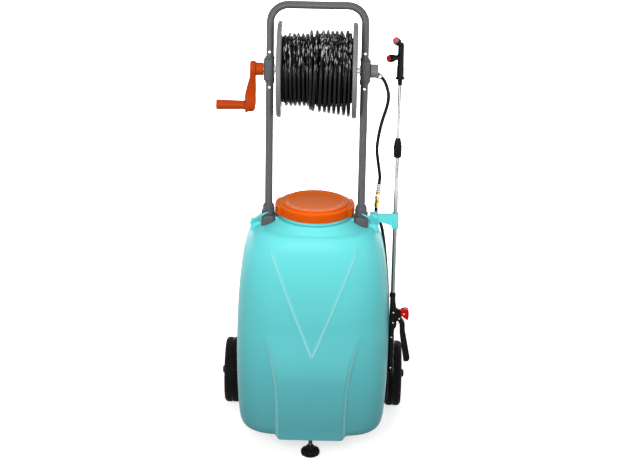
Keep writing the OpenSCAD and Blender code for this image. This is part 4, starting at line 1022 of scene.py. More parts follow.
def add_sockets():
    for side, word in SIDES:
        x = side*HANDLE_HALF
        levels = [(672, 20, 23), (699, 20, 23), (703, 19.6, 22.6), (706, 18.6, 21.6),
                  (708, 16.6, 19.6)]
        foot = skin([oval((x, SOCKET_Y, z), (1, 0, 0), (0, 1, 0), a, b, 5.0, 64)
                     for z, a, b in levels])
        local = LEANED @ at(x, 0, -UPRIGHT_L)
        collar = placed(fluted([(16.4, 4, 0), (16.4, 18, 0), (15.6, 19, 1), (15.4, 40, 1),
                                (15.4, 41, 0.6), (14.2, 45, 0), (12.6, 47.6, 0), (11.4, 48, 0)],
                               12, 144), local)
        tongue = block(x - side*15, x - side*27, SOCKET_Y - 9, SOCKET_Y + 14, 676, 707, 4, 2.5)
        knob = placed(rod(5, 13, 18.6, 32, 1.2), local @ at(0, 0, 33) @ TO_FRONT)
        heel = placed(rod(6.5, 10, 19.5, 36, 2),
                      local @ at(0, 0, 22) @ spun(90) @ spun(90*side, "X"))
        bore = placed(rod(TUBE_BORE, 0, 60, 64), local)
        piece("handle-socket-" + word, carved("socket", foot, [collar, tongue, knob, heel], [bore]),
              "trolley", "socket_plastic", "handle_socket_" + word, edge=0.5)


def add_brackets():
    head = pan_head(4.5, 2.6)
    places = []
    for side, word in SIDES:
        base = placed(block(side*BRACKET_IN, side*BRACKET_OUT, -20, 20, -BRACKET_H/2, BRACKET_H/2,
                            9, 3.5), LEANED)
        sleeves = [placed(rod(13.2, z0, z1, 56, 1), LEANED @ at(side*HANDLE_HALF))
                   for z0, z1 in ((-38, -26), (26, 36))]
        bore = placed(rod(TUBE_BORE, -170, 170, 56), AT_REEL @ ALONG_X)
        lip = placed(rod(14.3, BRACKET_IN - 6 if side > 0 else -BRACKET_IN - 1,
                         BRACKET_IN + 1 if side > 0 else -BRACKET_IN + 6, 56), AT_REEL @ ALONG_X)
        mesh = carved("bracket", base, sleeves, [bore, lip])
        piece("reel-bracket-" + word, mesh, "trolley", "reel_plastic", "reel_bracket_" + word,
              edge=0.4, finish="socket_plastic")
        for z in (-49.5, 49.5):
            places.append(LEANED @ at(side*HANDLE_HALF, -TUBE_R + 0.4, z) @ TO_FRONT)
    piece("tube-screws", repeated("tube-screws", head, places), "trolley", "zinc",
          "frame_screws", crisp=30)


add_handle()
add_sockets()
add_brackets()


# ---- Swivel that feeds the reel ----
def add_swivel():
    local = facing(FEED_WAY, FEED_EXIT)
    barrel = placed(lathe([(9, 0), (17.6, 0), (18.7, 0.6), (19, 1.6), (19, 6.6), (18.4, 7.1),
                           (18.4, 8), (19, 8.5), (19, 18.6), (18.6, 20), (17.4, 21), (12, 21),
                           (11.4, 20.4), (11, 19.6), (9, 19.4)], 72, True),
                    AT_REEL @ at(BRACKET_OUT) @ ALONG_X)
    tail = placed(lathe([(1, -22), (7, -22), (7, -12), (7.6, -11.4), (7.6, -3), (7.2, -0.8),
                         (6.4, 0), (1, 0)], 48), local)
    mesh = carved("swivel", barrel, [tail])
    piece("feed-swivel", mesh, "trolley", "reel_plastic", "swivel_inlet", edge=0.4)
    band = placed(lathe([(7.5, -9.6), (8.1, -9.6), (8.3, -9.4), (8.3, -3.2), (8.1, -3),
                         (7.5, -3)], 48, True), local)
    screw = placed(shaped([(-5, 2.6, 0), (4.6, 2.6, 0), (4.8, 3.4, 3.8), (5.6, 3.8, 3.8),
                           (7.4, 3.8, 3.8), (8, 3.2, 3.8)], 36),
                   local @ at(-2, -9.6, -6.3) @ ALONG_X)
    piece("swivel-clamp", together(band, screw), "trolley", "zinc", crisp=30)


add_swivel()


# ---- Reel ----
def add_flange(side, word):
    r = FLANGE_R
    plate = lathe([(SHAFT_BORE, 0), (r - 4, 0), (r - 1.6, 0.7), (r - 0.3, 2.2), (r, 4), (r, 8.4),
                   (r - 0.5, 10.4), (r - 2.2, 12.6), (r - 5, 13.8), (r - 7, 14), (r - 10, 14),
                   (r - 12, 13.5), (r - 12.8, 12), (r - 14, 6), (r - 15.4, 4.4), (r - 18, 4),
                   (26, 4), (22, 4.6), (20, 6), (18.6, 9.2), (17.4, 10), (SHAFT_BORE, 10)],
                  192, True)
    ribs = []
    for k in range(8):
        rib = block(17, r - 11, -2.2, 2.2, 2, 11, 0.8, 0.7, 3)
        ribs.append(placed(rib, spun(45*(k + 0.5))))
    mesh = moved(carved("flange", plate, ribs), AT_REEL @ outward(side) @ at(0, 0, FLANGE_IN))
    piece("reel-flange-" + word, mesh, "reel", "reel_plastic", "flange_" + word, crisp=30)


LAYER_R, OUTER_R = 97.0, 107.0
LAYER_TURNS = 15
PER_TURN = 40
# Where the turns of the outer layer lie, from the right
OUTER_X = (85.5, 69.5, 56.5, 43.5, 31, 18.5, 3.5, -16.5)


def winding_path():
    """Two layers of hose: a full one, and a looser one that comes half way back."""
    random.seed(7)
    shifts = [random.uniform(-0.85, 0.85) for k in range(LAYER_TURNS + 2)]
    phases = [random.uniform(0, FULL) for k in range(40)]
    path = []

    def put(x, r, turn):
        path.append(Vector((x, r*math.cos(turn), r*math.sin(turn))))

    shift_at = through(list(range(LAYER_TURNS + 2)), shifts)
    for i in range(LAYER_TURNS*PER_TURN + 1):
        n = i/PER_TURN
        turn = FULL*n
        x = -WOUND_X + 2*WOUND_X*n/LAYER_TURNS
        edge = ease(min(n, LAYER_TURNS - n)/1.5)
        x += edge*(shift_at(n) + 0.5*math.sin(2*turn + phases[int(n)]*0.15))
        put(x, LAYER_R - 13*(1 - ease(n*2.6)), turn)
    places = [WOUND_X, *OUTER_X]
    outer_at = through(list(range(len(places))), places)
    count = (len(places) - 1)*PER_TURN + PER_TURN*3//4
    for i in range(1, count + 1):
        n = i/PER_TURN
        turn = FULL*n
        x = outer_at(min(n, len(places) - 1)) if n < len(places) - 1 else places[-1] - 0.4
        rise = ease(n*1.6)
        low = max(0.0, -math.sin(turn))**1.6
        sag = 3.5 + 14*max(0.0, (x + 16)/101)**1.3
        end = ease((n - (len(places) - 1))*2.2)
        r = LAYER_R + (OUTER_R - LAYER_R)*rise + low*sag*rise*(1 - end)
        r += 0.5*math.sin(3*turn + phases[int(n)])*rise
        put(x + 0.6*math.sin(turn + phases[int(n) + 12])*ease(n)*(1 - end), r, turn)
    x0 = path[-1].x
    for k in range(1, 15):
        share = k/14
        turn = math.radians(270 + 90*share)
        put(x0 + (WOUND_END_X - x0)*ease(share), OUTER_R + 9.5*ease(share*1.8), turn)
    return path + [path[-1] + Vector((0, 0, 3)), path[-1] + Vector((0, 0, 7.5)),
                   path[-1] + Vector((0, 0, 12))]


def winding_core():
    """Hose of the layers below, seen only between the turns."""
    profile = [(40.1, -96.9)]
    turns, steps = 17, 6
    for k in range(turns*steps + 1):
        across = (k % steps)/steps*2 - 1
        profile.append((88 + 4.6*math.sqrt(max(0.0, 1 - across*across)),
                        -96.9 + 193.8*k/(turns*steps)))
    profile.append((40.1, 96.9))
    return lathe(profile, 120, True)


def add_reel():
    for side, word in SIDES:
        add_flange(side, word)
    piece("winding-core", placed(winding_core(), AT_REEL @ ALONG_X), "reel", "hose_rubber")
    piece("wound-hose", placed(sweep(winding_path(), HOSE_R, 14), AT_REEL), "reel",
          "hose_rubber", "reel_hose", finish="wound_rubber")
    end = Vector((WOUND_END_X, OUTER_R + 9.5, 12))
    fitting = shaped([(0, 5.3, 0), (0.3, 6.5, 0), (8, 6.5, 0), (8.4, 6.0, 0), (9.6, 6.0, 0),
                      (10, 6.5, 0), (19.4, 6.5, 0), (20, 5, 0), (24, 5, 0), (24.2, 6.9, 8),
                      (25.2, 8, 8), (36.8, 8, 8), (38, 6.9, 8)])
    piece("wound-hose-fitting", placed(fitting, AT_REEL @ at(*end)), "reel", "brass", "hose_end",
          crisp=25)


add_reel()


# ---- Crank ----
# Height from the reel's axis, outer and inner X, then half the depth
CRANK_ROWS = (
    (-122.5, -198.6, -179, 6), (-120.5, -199.6, -175.5, 10), (-117, -200, -173, 13.2),
    (-112, -200, -171.2, 15.6), (-105, -200, -170, 17), (-92, -200, -169, 16.8),
    (-80, -200, -169, 15.6), (-72, -199.6, -169, 15), (-60, -197, -169, 14.6),
    (-44, -193, -169, 15.2), (-30, -189, -169, 17), (-22, -187, -169, 18.4),
    (-10, -186, -169, 20.8), (0, -186, -169, 22), (8, -186, -169, 20.6),
    (14, -186, -169, 17.2), (18, -185.8, -169.4, 13), (21, -185, -170.5, 7.4),
    (22, -184, -172, 3.4))


def add_crank():
    outer, inner, half = columns(CRANK_ROWS)
    low, high = CRANK_ROWS[0][0], CRANK_ROWS[-1][0]
    rings = []
    for k in range(97):
        z = low + (high - low)*(0.5 - 0.5*math.cos(math.pi*k/96))
        y = half(z)
        rings.append(corner_ring(outer(z), inner(z), -y, y, min(4.5, y*0.9), z, 8))
    nub = block(-200, -191.5, -4, 4, -126, -116, 2.5, 2)
    hub = placed(rod(18, -170, -149, 64, 1.2), ALONG_X)
    bore = placed(rod(8.05, -181, -140, 56), ALONG_X)
    pin = placed(rod(4.05, -210, -173, 40), at(0, 0, -CRANK_R) @ ALONG_X)
    rim = placed(lathe([(12.4, -187), (14.6, -187), (14.6, -184.9), (12.4, -184.9)], 64, True),
                 ALONG_X)
    mesh = moved(carved("crank", skin(rings), [nub, hub], [bore, pin, rim]), AT_REEL)
    # Its finish is the orange plastic darkened as painted shade
    piece("crank-lever", mesh, "reel", "orange_plastic", "crank_arm", crisp=30,
          finish="orange_in_painted_shade")
    grip = lathe([(4.1, 1), (4.4, 0.2), (12, 0), (12.9, 0.5), (13.1, 1.6), (13.1, 4.2),
                  (12.5, 4.9), (12.3, 6), (12.7, 20), (13.2, 42), (13.7, 66), (14, 72.6),
                  (14, 76.6), (13.5, 78.6), (12.2, 79.8), (11, 80), (8.6, 80), (7.8, 79.5),
                  (7.5, 78.6), (7.5, 73.8), (4.1, 73.8)], 72, True)
    # The grip also takes the orange plastic darkened as painted shade
    piece("turning-grip",
          placed(grip, at(-GRIP_X, REEL_Y, REEL_Z - CRANK_R) @ outward(LEFT)),
          "crank_grip", "orange_plastic", "crank_grip", crisp=40, finish="orange_in_painted_shade")


add_crank()


# ---- Wheels ----
TREAD_COUNT, TREAD_STEPS, BAR_HIGH = 60, 480, 2.8


def tyre_shell():
    """Tyre about Z, from its inner face at 0: two bands of bars and a ribbed sidewall."""
    profile = [(70, 5, 0), (74, 3.6, 0), (78, 2.2, 0), (79, 1.4, 0), (81.5, 1.2, 0),
               (82.5, 1.8, 0), (86, 1.0, 0), (88, 0.4, 0), (91.5, 0.9, 0.2), (94, 2.2, 0.7),
               (97.2, 4.6, 1), (99, 7.4, 1), (100, 10.4, 1), (100, 20.6, 1), (100, 22.2, 0),
               (98.6, 22.6, 0), (98.6, 24.7, 0)]
    count = len(profile)
    rows = profile + [(r, TYRE_W - z, -share) for r, z, share in reversed(profile)]
    rings = []
    for j, (r, z, share) in enumerate(rows):
        half = 0.5 if j >= count else 0.0
        ring = []
        for k in range(TREAD_STEPS):
            turn = FULL*k/TREAD_STEPS
            bar = math.cos(TREAD_COUNT*turn + FULL*half)
            cut = ease((0.15 - bar)/0.5)*abs(share)
            ring.append(polar(r - BAR_HIGH*cut, turn, z))
        rings.append(ring)
    return skin(rings, True)


def rim_mesh():
    """Rim about Z, from the tyre's inner face outwards, with its hub."""
    cross = [(SHAFT_BORE, -2), (16.6, -2), (17.6, -1.5), (18, -0.4), (18, 18.6), (18.8, 20.4),
             (20.6, 21), (57, 21), (60.4, 20.4), (63.4, 18.4), (65, 15), (65, 6.4), (65.6, 5.3),
             (66.6, 5), (70.02, 5), (70.02, 45), (66.6, 45), (65.6, 44.7), (65, 43.6),
             (65, 32), (63.4, 28.4), (60.4, 26.5), (57, 26), (20.6, 26), (18.8, 26.6),
             (18, 28.4), (18, 40.4), (17.6, 41.5), (16.6, 42), (SHAFT_BORE, 42)]
    ribs = []
    for k in range(5):
        outline = [(16.5, 22), (16.5, 37.5), (30, 35), (50, 35), (66.5, 39), (66.5, 22)]
        rib = slab(outline, 0, 3.6, 1.5)
        ribs.append(placed(rib, spun(72*k)))
    return carved("rim", lathe(cross, 160, True), ribs)


def add_wheels():
    for side, word in SIDES:
        place = at(side*WHEEL_IN, AXLE_Y, AXLE_Z) @ outward(side)
        piece("tyre-" + word + "-tread", placed(tyre_shell(), place), "wheel_" + word,
              "tyre_rubber", "tyre_" + word, crisp=40)
        piece("rim-" + word + "-moulding", moved(rim_mesh(), place), "wheel_" + word,
              "black_plastic", "rim_" + word, edge=0.5)
    caps = [placed(lathe([(SHAFT_BORE, 0), (13.4, 0), (14, 0.6), (14, 8), (13.6, 9.6), (12.6, 11.2),
                          (11, 12.6), (10.6, 14.6), (9.6, 15.6), (7, 16), (1, 16.0), (1, 13.2),
                          (SHAFT_BORE, 13.2)], 56, True),
                   at(side*263, AXLE_Y, AXLE_Z) @ outward(side))
            for side in (LEFT, RIGHT)]
    piece("wheel-caps", together(*caps), "trolley", "black_plastic", "axle_caps", crisp=40)
    for side, word in SIDES:
        arm = lathe([(SHAFT_BORE, 136), (16, 136), (16, 139), (14.6, 141), (14, 144), (14, 196),
                     (14.4, 199), (16, 201), (16, 215.4), (15, 217), (SHAFT_BORE, 217)], 64, True)
        rib = slab([(138, 12), (138, 16), (200, 16), (200, 12)], 0, 1.6, 0.6)
        ribs = [placed(rib, ALONG_X.inverted() @ spun(60*k, "X")) for k in range(6)]
        mesh = moved(carved("arm", arm, ribs), at(0, AXLE_Y, AXLE_Z) @ outward(side))
        piece("axle-arm-" + word + "-casting", mesh, "trolley", "black_plastic",
              "axle_arm_" + word, edge=0.4)


add_wheels()


# ---- Screw foot ----
def add_foot():
    rows = [(18.5, 0, 0), (20.5, 0.5, 0), (22.5, 2.4, 1.2), (24.6, 5, 2.4), (25.2, 7.6, 2.3),
            (25.2, 14, 2.3), (24.8, 16.4, 2.2), (22.8, 19.6, 1.6), (19.6, 21.8, 0.6),
            (16.4, 23, 0), (13, 25.2, 0), (11.2, 27.4, 0), (10.2, 30, 0), (9.6, 32.2, 0),
            (8.6, 33, 0), (6.2, 33, 0), (6.06, 32.6, 0), (6.06, 10, 0), (1, 10, 0)]
    scallops = fluted(rows, 12, 192, 0.56)
    piece("foot-knob", placed(scallops, at(0, FOOT_Y)), "foot_pad", "pad_rubber", "foot_pad",
          crisp=40)
    low, high, pitch = 10.3, 78, 1.75
    rings = []
    steps = int((high - low)/pitch*8)
    for j in range(steps + 1):
        z = low + (high - low)*j/steps
        end = ease(min(z - low, high - z)/1.2)
        ring = []
        for k in range(36):
            wave = abs((z/pitch - k/36) % 1*2 - 1)
            reach = 5.25 + 0.72*wave*end - 0.5*(1 - end)
            ring.append(polar(reach, FULL*k/36, z))
        rings.append(ring)
    piece("foot-screw", placed(skin(rings), at(0, FOOT_Y)), "foot_stem", "zinc", "foot_stem",
          finish="dark_steel", crisp=60)


add_foot()


# ---- Pump housing behind the tank ----
HOUSING_HALF = 136


def add_housing():
    back = HOUSING_BACK
    base = block(-HOUSING_HALF, HOUSING_HALF, BACK_Y, back, HOUSING_Z, HOUSING_TOP, 14, 4, 8)
    low_slot = block(-122, 122, BACK_Y - 5, back + 5, 24, 27, 3, 0.5)
    outline = corner_ring(-96, 96, 128, 236, 10, 0, 8)
    panel = layers([outline]*2, (back - 2, back + 0.6))
    slots = []
    for row in range(7):
        for side in (LEFT, RIGHT):
            z = 62 + 9*row
            slots.append(block(side*34, side*86, back - 2, back + 3, z, z + 4, 1.9, 0.4, 4))
    groove_outer = corner_ring(-HOUSING_HALF - 2, HOUSING_HALF + 2, BACK_Y - 2, back + 2, 15,
                               118.6, 8)
    groove_inner = corner_ring(-HOUSING_HALF + 0.9, HOUSING_HALF - 0.9, BACK_Y + 0.9,
                               back - 0.9, 13, 118.6, 8)
    lift = Vector((0, 0, 1.2))
    groove = skin([groove_inner, groove_outer, [p + lift for p in groove_outer],
                   [p + lift for p in groove_inner]], True)
    well = block(SWITCH_X - 7.3, SWITCH_X + 7.3, back - 9, back + 3, SWITCH_Z - 13,
                 SWITCH_Z + 13, 0.6, 0.2, 3)
    hole = placed(rod(6.05, -20, 5, 40), at(CHARGE_X, back, SWITCH_Z) @ TO_BACK)
    tunnel = placed(rod(SHAFT_BORE, -140, 140, 48), at(0, AXLE_Y, AXLE_Z) @ ALONG_X)
    mesh = carved("housing", base, [panel], slots + [groove, well, hole, tunnel, low_slot])
    piece("pump-cover", mesh, "trolley", "black_plastic", "pump_housing", edge=0.5)
    frame_ring = corner_ring(SWITCH_X - 10.5, SWITCH_X + 10.5, SWITCH_Z - 16, SWITCH_Z + 16, 3,
                             0, 6)
    hole_ring = corner_ring(SWITCH_X - 7.5, SWITCH_X + 7.5, SWITCH_Z - 13.2, SWITCH_Z + 13.2,
                            0.8, 0, 6)
    bezel = layers((hole_ring, hole_ring, frame_ring, frame_ring),
                   (back - 1, back + 1.8, back + 1.2, back - 0.2), True)
    piece("switch-frame", bezel, "trolley", "black_plastic", crisp=30)
    head = pan_head(3.6, 2.0)
    places = [at(x, back + 0.5, z) @ TO_BACK for x in (-88, 88) for z in (136, 228)]
    places += [at(x, back - 0.1, z) @ TO_BACK for x in (-118, 118) for z in (50, 150, 276)]
    piece("cover-screws", repeated("cover-screws", head, places), "trolley", "zinc", crisp=30)
    rocker = [(-11, 2), (-3, 0.5), (10, 5.5), (10, -1), (2, -5), (-2, -5), (-11, -1)]
    shape = rounded([(y, z) for z, y in rocker], 0.8, 4)
    sides = [[Vector((x, p.x + back - 1.5, p.y + SWITCH_Z)) for p in shape]
             for x in (SWITCH_X - 7, SWITCH_X + 7)]
    piece("rocker", skin(sides), "power_switch", "red_plastic", "power_switch", edge=0.4)
    socket = lathe([(1, -10), (2.75, -10), (2.75, 1.2), (3.3, 2), (7.6, 2), (8.6, 1.6), (9, 0.8),
                    (9, 0.05), (6, 0), (6, -16), (1, -16)], 48, True)
    pin = rod(1.0, -10.2, -2, 20, 0.3)
    local = at(CHARGE_X, back, SWITCH_Z) @ TO_BACK
    piece("charger-socket", placed(socket, local), "trolley", "black_plastic", "charge_socket",
          crisp=30)
    piece("charger-pin", placed(pin, local), "trolley", "brass")
    port = lathe([(5.05, 0), (7.2, 0), (8, 0.8), (8, 2.2), (7.4, 2.6), (7.4, 3.4), (8, 3.8),
                  (8, 6), (5.05, 6)], 48, True)
    piece("hose-inlet", placed(port, at(128, 86, 37) @ TO_BACK), "trolley", "black_plastic",
          "hose_port", crisp=30)


add_housing()


# ---- Lance holder ----
def add_holder():
    base = block(156, 178, LANCE_Y - 16, LANCE_Y + 16, 684, 710, 5, 2.5)
    arm = slab([(174, 689), (192, 684), (221, 674), (221, 708), (192, 707.6), (174, 707)],
               LANCE_Y, 7, 3)
    clip = block(219.2, 238.3, LANCE_Y - 9.8, LANCE_Y + 9.8, 666, 712, 5, 1.6)
    bore = placed(rod(6.3, 660, 720, 56), AT_LANCE)
    mouth = block(LANCE_X, 245, LANCE_Y - 6.3, LANCE_Y + 6.3, 660, 720, 0.3, 0.1, 2)
    mesh = carved("holder", base, [arm, clip], [bore, mouth])
    piece("lance-clip", mesh, "trolley", "tank_plastic", "lance_holder", edge=0.9)


add_holder()


# ---- Spray gun ----
TRIGGER_PIN, LATCH_PIN = (250, 388), (263, 403)
# Height, left and right X, half thickness and squareness of the gun's body
GUN_ROWS = (
    (215, 224.4, 235.4, 9.6, 4), (216.4, 223.2, 236.6, 10.8, 4), (219, 222, 237.6, 11.6, 4),
    (226, 221.6, 237.8, 11.9, 4), (250, 221.6, 237.2, 11.9, 4), (300, 221.8, 236.9, 11.8, 4),
    (340, 221.8, 236.9, 11.8, 4), (353, 221.6, 237.2, 11.8, 4), (359, 221.6, 240.6, 11.8, 4.5),
    (363, 221.6, 242.8, 11.8, 5), (385, 221.5, 243, 12, 5), (405, 221.5, 243, 12, 5),
    (414, 221.6, 242.2, 12, 5), (425, 221.8, 240.2, 11.8, 5), (440, 222, 238.2, 11.4, 4.5),
    (455, 222.4, 236.8, 10.6, 4), (458, 223.2, 235.6, 9.6, 4), (459, 224.2, 234.4, 8.6, 4))


def pin_hole(x, z):
    """Bore for a pin through the gun, along Y."""
    return placed(rod(PIN_BORE, -20, 20, 24), at(x, LANCE_Y, z) @ TO_FRONT)


def add_gun():
    left, right, deep, square = columns(GUN_ROWS)
    heights = [GUN_ROWS[0][0], 215.6, 216.4, 217.6, 219, 222]
    heights += [226 + 3.0*k for k in range(76)] + [455, 456.6, 458, 458.7, 459]
    rings = []
    for z in heights:
        wave = 0.55*math.sin((z - 240)/4.2) if 240 < z < 345 else 0
        fade = ease((z - 238)/10)*ease((347 - z)/10)
        x0, x1 = left(z), right(z) + wave*fade
        rings.append(oval(((x0 + x1)/2, LANCE_Y, z), (1, 0, 0), (0, 1, 0), (x1 - x0)/2,
                          deep(z), square(z), 96))
    ear = slab([(236, 373), (254, 384), (254, 392), (267, 401), (267, 407), (262, 409),
                (236, 419)], LANCE_Y, 5, 2)
    collar = placed(lathe([(1, 453), (9, 453), (9, 461.6), (8.6, 462), (8.6, 462.8),
                           (9, 463.2), (9, 464.2), (8.2, 465), (1, 465)], 56), AT_LANCE)
    inlet_x = LANCE_X + 2
    thread = placed(lathe([(1, 203), (5.9, 203), (6.5, 203.8)]
                          + [(r, 204.4 + 1.4*k + dz) for k in range(6)
                             for r, dz in ((6.58, 0), (6.58, 0.35), (5.9, 0.7), (5.9, 0.95))]
                          + [(6.58, 213), (6.58, 214.6), (8.0, 215), (8.08, 222), (1, 222)], 56),
                    at(inlet_x, LANCE_Y))
    bore = placed(rod(3.5, 190, 214, 32), at(inlet_x, LANCE_Y))
    tube = placed(rod(6.05, 436, 470, 48), AT_LANCE)
    valve = placed(rod(3.05, 229, 250, 32), at(0, LANCE_Y, 368) @ ALONG_X)
    pins = [pin_hole(*TRIGGER_PIN), pin_hole(*LATCH_PIN)]
    outline = corner_ring(224.4, 239.6, 366, 416, 5, 0, 6)
    side_plates = [layers([outline]*2, (LANCE_Y + side*9, LANCE_Y + side*12.4))
                   for side in (LEFT, RIGHT)]
    mesh = carved("gun", skin(rings), [ear, collar, thread] + side_plates,
                  [bore, tube, valve] + pins)
    piece("spray-gun", mesh, "lance", "black_plastic", "gun_body", edge=0.35)
    screw = pan_head(2.4, 1.2)
    piece("gun-screws", repeated("gun-screws", screw, [
        at(x, LANCE_Y - 12.3, z) @ TO_FRONT for x, z in ((232, 376), (232, 408))]
        + [at(229, LANCE_Y - 11.7, z) @ TO_FRONT for z in (232, 330)]), "lance", "zinc", crisp=30)


def add_trigger():
    x, z = TRIGGER_PIN
    outline = [(x - 4.5, z - 8), (x - 3.5, z + 4), (x + 4, z + 4), (x + 17, z - 15),
               (x + 18, z - 40), (x + 24.5, z - 72), (x + 35, z - 127), (x + 30, z - 136),
               (x + 17, z - 136), (x + 9, z - 88), (x + 3, z - 50), (x + 1.5, z - 14)]
    lever = slab(outline, LANCE_Y, 9, 3)
    gap = block(x - 20, x + 12, LANCE_Y - 5.3, LANCE_Y + 5.3, z - 11.5, z + 12, 0.3, 0.1, 2)
    points = rounded([(x + 8, z - 34), (x + 14.5, z - 34), (x + 27, z - 122),
                      (x + 21, z - 128)], 4)
    hollow = [layers([points]*2, (LANCE_Y + side*7.6, LANCE_Y + side*12))
              for side in (LEFT, RIGHT)]
    piece("squeeze-lever", carved("lever", lever, cut=[gap, pin_hole(x, z)] + hollow), "trigger",
          "black_plastic", "trigger", edge=0.9)
    x, z = LATCH_PIN
    outline = [(x - 8, z - 5), (x - 9, z + 12), (x + 5, z + 15), (x + 13, z + 12), (x + 15, z),
               (x + 13, z - 20), (x + 4, z - 15)]
    latch = slab(outline, LANCE_Y, 9, 3.5)
    cuts = [block(x - 20, x + 6.5, LANCE_Y - 5.3, LANCE_Y + 5.3, z - 25, z + 9, 0.3, 0.1, 2),
            block(x - 20, x - 2, LANCE_Y - 5.3, LANCE_Y + 5.3, z - 25, z + 20, 0.3, 0.1, 2),
            pin_hole(x, z)]
    for k in range(3):
        cuts.append(block(x + 11.5 - 0.3*k, x + 18, LANCE_Y - 7, LANCE_Y + 7, z - 12 + 6*k,
                          z - 10.4 + 6*k, 0.3, 0.2, 2))
    piece("thumb-latch", carved("latch", latch, cut=cuts), "trigger_lock", "red_plastic",
          "trigger_lock", edge=0.9)


add_gun()
add_trigger()


# ---- Lance tubes, nut and nozzles ----
def add_tubes():
    outer = lathe([(4.54, 435), (5.6, 435), (6, 435.6), (6, 922.4), (5.6, 923), (4.54, 923)],
                  56, True)
    piece("lower-tube", placed(outer, AT_LANCE), "lance", "lance_steel", "outer_tube", crisp=40)
    inner = lathe([(3.5, 699), (4.2, 699), (4.5, 699.5), (4.5, 1100.6), (4.2, 1101),
                   (3.5, 1101)], 48, True)
    piece("upper-tube", placed(inner, AT_LANCE), "inner_lance", "lance_steel", "inner_tube",
          crisp=40)
    rows = [(6.06, 0, 0), (9.6, 0, 0), (10.6, 0.6, 0), (11, 1.8, 0), (11, 4.4, 0),
            (10.7, 5.4, 0.6), (10.7, 7, 1.1), (10.7, 34, 1.1), (10.6, 35.6, 0.6), (10.7, 36.6, 0),
            (11, 37.6, 0), (11, 41.6, 0), (10.4, 42.8, 0), (8.4, 51, 0), (7.4, 54.6, 0),
            (6.6, 56, 0), (4.8, 56, 0), (4.8, 44.2, 0), (6.06, 44.2, 0)]
    nut = fluted(rows, 16, 192, 0.5, True)
    piece("grip-nut", placed(nut, at(LANCE_X, LANCE_Y, NUT_Z)), "collet_nut", "black_plastic",
          "collet_nut", crisp=35)


NOZZLE_TURN = 205
SIDE_NOZZLE = at(LANCE_X, LANCE_Y, HEAD_Z + 80) @ spun(NOZZLE_TURN) @ spun(93, "Y")
TOP_NOZZLE = at(LANCE_X, LANCE_Y, HEAD_Z + 112) @ spun(NOZZLE_TURN) @ spun(46, "Y")


def add_nozzles():
    z = HEAD_Z
    stem = placed(lathe([(1, z), (5.9, z), (6.5, z + 0.7), (6.5, z + 15), (7, z + 16.4),
                         (12.2, z + 17), (13, z + 17.6), (13, z + 20.8), (12, z + 22),
                         (10.4, z + 22.6), (10, z + 24), (10, z + 46), (9.8, z + 49),
                         (9.3, z + 54), (8.9, z + 75), (8.6, z + 98), (8.5, z + 110),
                         (8.2, z + 115), (7.0, z + 118.4), (4.6, z + 120), (1, z + 120.4)], 64),
                  AT_LANCE)
    side = placed(lathe([(1, 0), (7.2, 0), (7.0, 9), (7.0, 14), (7.6, 16), (9, 19), (10.4, 24),
                         (11, 28), (11, 31.2), (10.6, 32), (5.1, 32), (5.1, 28), (1, 28)], 64),
                  SIDE_NOZZLE)
    top = placed(lathe([(1, 0), (7.8, 0), (8, 6), (8.6, 8.6), (10, 12), (10.9, 15.6),
                        (11, 18), (11, 19.4), (10.6, 20), (5.1, 20), (5.1, 16), (1, 16)], 64),
                 TOP_NOZZLE)
    socket = placed(rod(4.55, z - 1, z + 12.05, 40), AT_LANCE)
    piece("nozzle-stem", carved("nozzles", stem, [side, top], [socket]), "inner_lance",
          "black_plastic", "nozzle_head", edge=0.5)
    tip = lathe([(1, -3.7), (5, -3.7), (5, 0.3), (8.4, 0.3), (9, 0.9), (9, 6.0), (8.6, 7.6),
                 (7.6, 8.8), (6.4, 9.3), (5.8, 9.0), (5.2, 7.8), (2.6, 7.2), (1.6, 7.2),
                 (1, 6.4)], 56, True)
    band = lathe([(8.9, 0.6), (10.2, 0.6), (10.6, 1.0), (10.6, 3.6), (10.2, 4.2), (8.9, 4.2)],
                 56, True)
    for name, local, length in (("top", TOP_NOZZLE, 20), ("side", SIDE_NOZZLE, 32)):
        place = local @ at(0, 0, length)
        piece("spray-tip-" + name, placed(tip, place), "nozzle_cap_" + name, "red_plastic",
              "nozzle_cap_" + name, crisp=30, finish="pink_plastic" if name == "top" else None)
        piece("spray-tip-ring-" + name, placed(band, place), "nozzle_cap_" + name,
              "reel_plastic" if name == "top" else "black_plastic", crisp=30)


add_tubes()
add_nozzles()


# ---- CAD pieces that stay, with their own finish ----
KEPT = {"filler_strainer": "black_plastic", "lid_gasket": "pad_rubber",
        "reel_bush_left": "nylon", "reel_bush_right": "nylon", "reel_drum": "reel_plastic",
        "reel_shaft": "zinc", "crank_pin": "zinc", "axle": "zinc", "pump_head": "black_plastic",
        "pump_motor": "zinc", "battery": "battery_case", "foot_insert": "brass",
        "trigger_pin": "zinc", "lock_pin": "zinc", "valve_stem": "zinc"}


def finish_kept_pieces():
    for node, slot in KEPT.items():
        for socket in bpy.data.objects[node].material_slots:
            socket.material = FINISHES[slot]


finish_kept_pieces()


# ---- Floor, lights and surroundings ----
FLOOR_REACH, FLOOR_GREY, FLOOR_BOUNCE = 30, 205, 60
# Glow of the floor under the part, and its gain a metre outwards
FLOOR_GLOW, FLOOR_GAIN = 0.57, 0.55
WORLD_LIGHT = 0.25


def seen_directly(tree):
    """1 where the camera, a mirror or glass looks at it, 0 where it only sheds light."""
    path = tree.nodes.new("ShaderNodeLightPath")
    seen = math_node(tree, "MAXIMUM", path.outputs["Is Camera Ray"],
                     path.outputs["Is Glossy Ray"])
    return math_node(tree, "MAXIMUM", seen, path.outputs["Is Transmission Ray"])


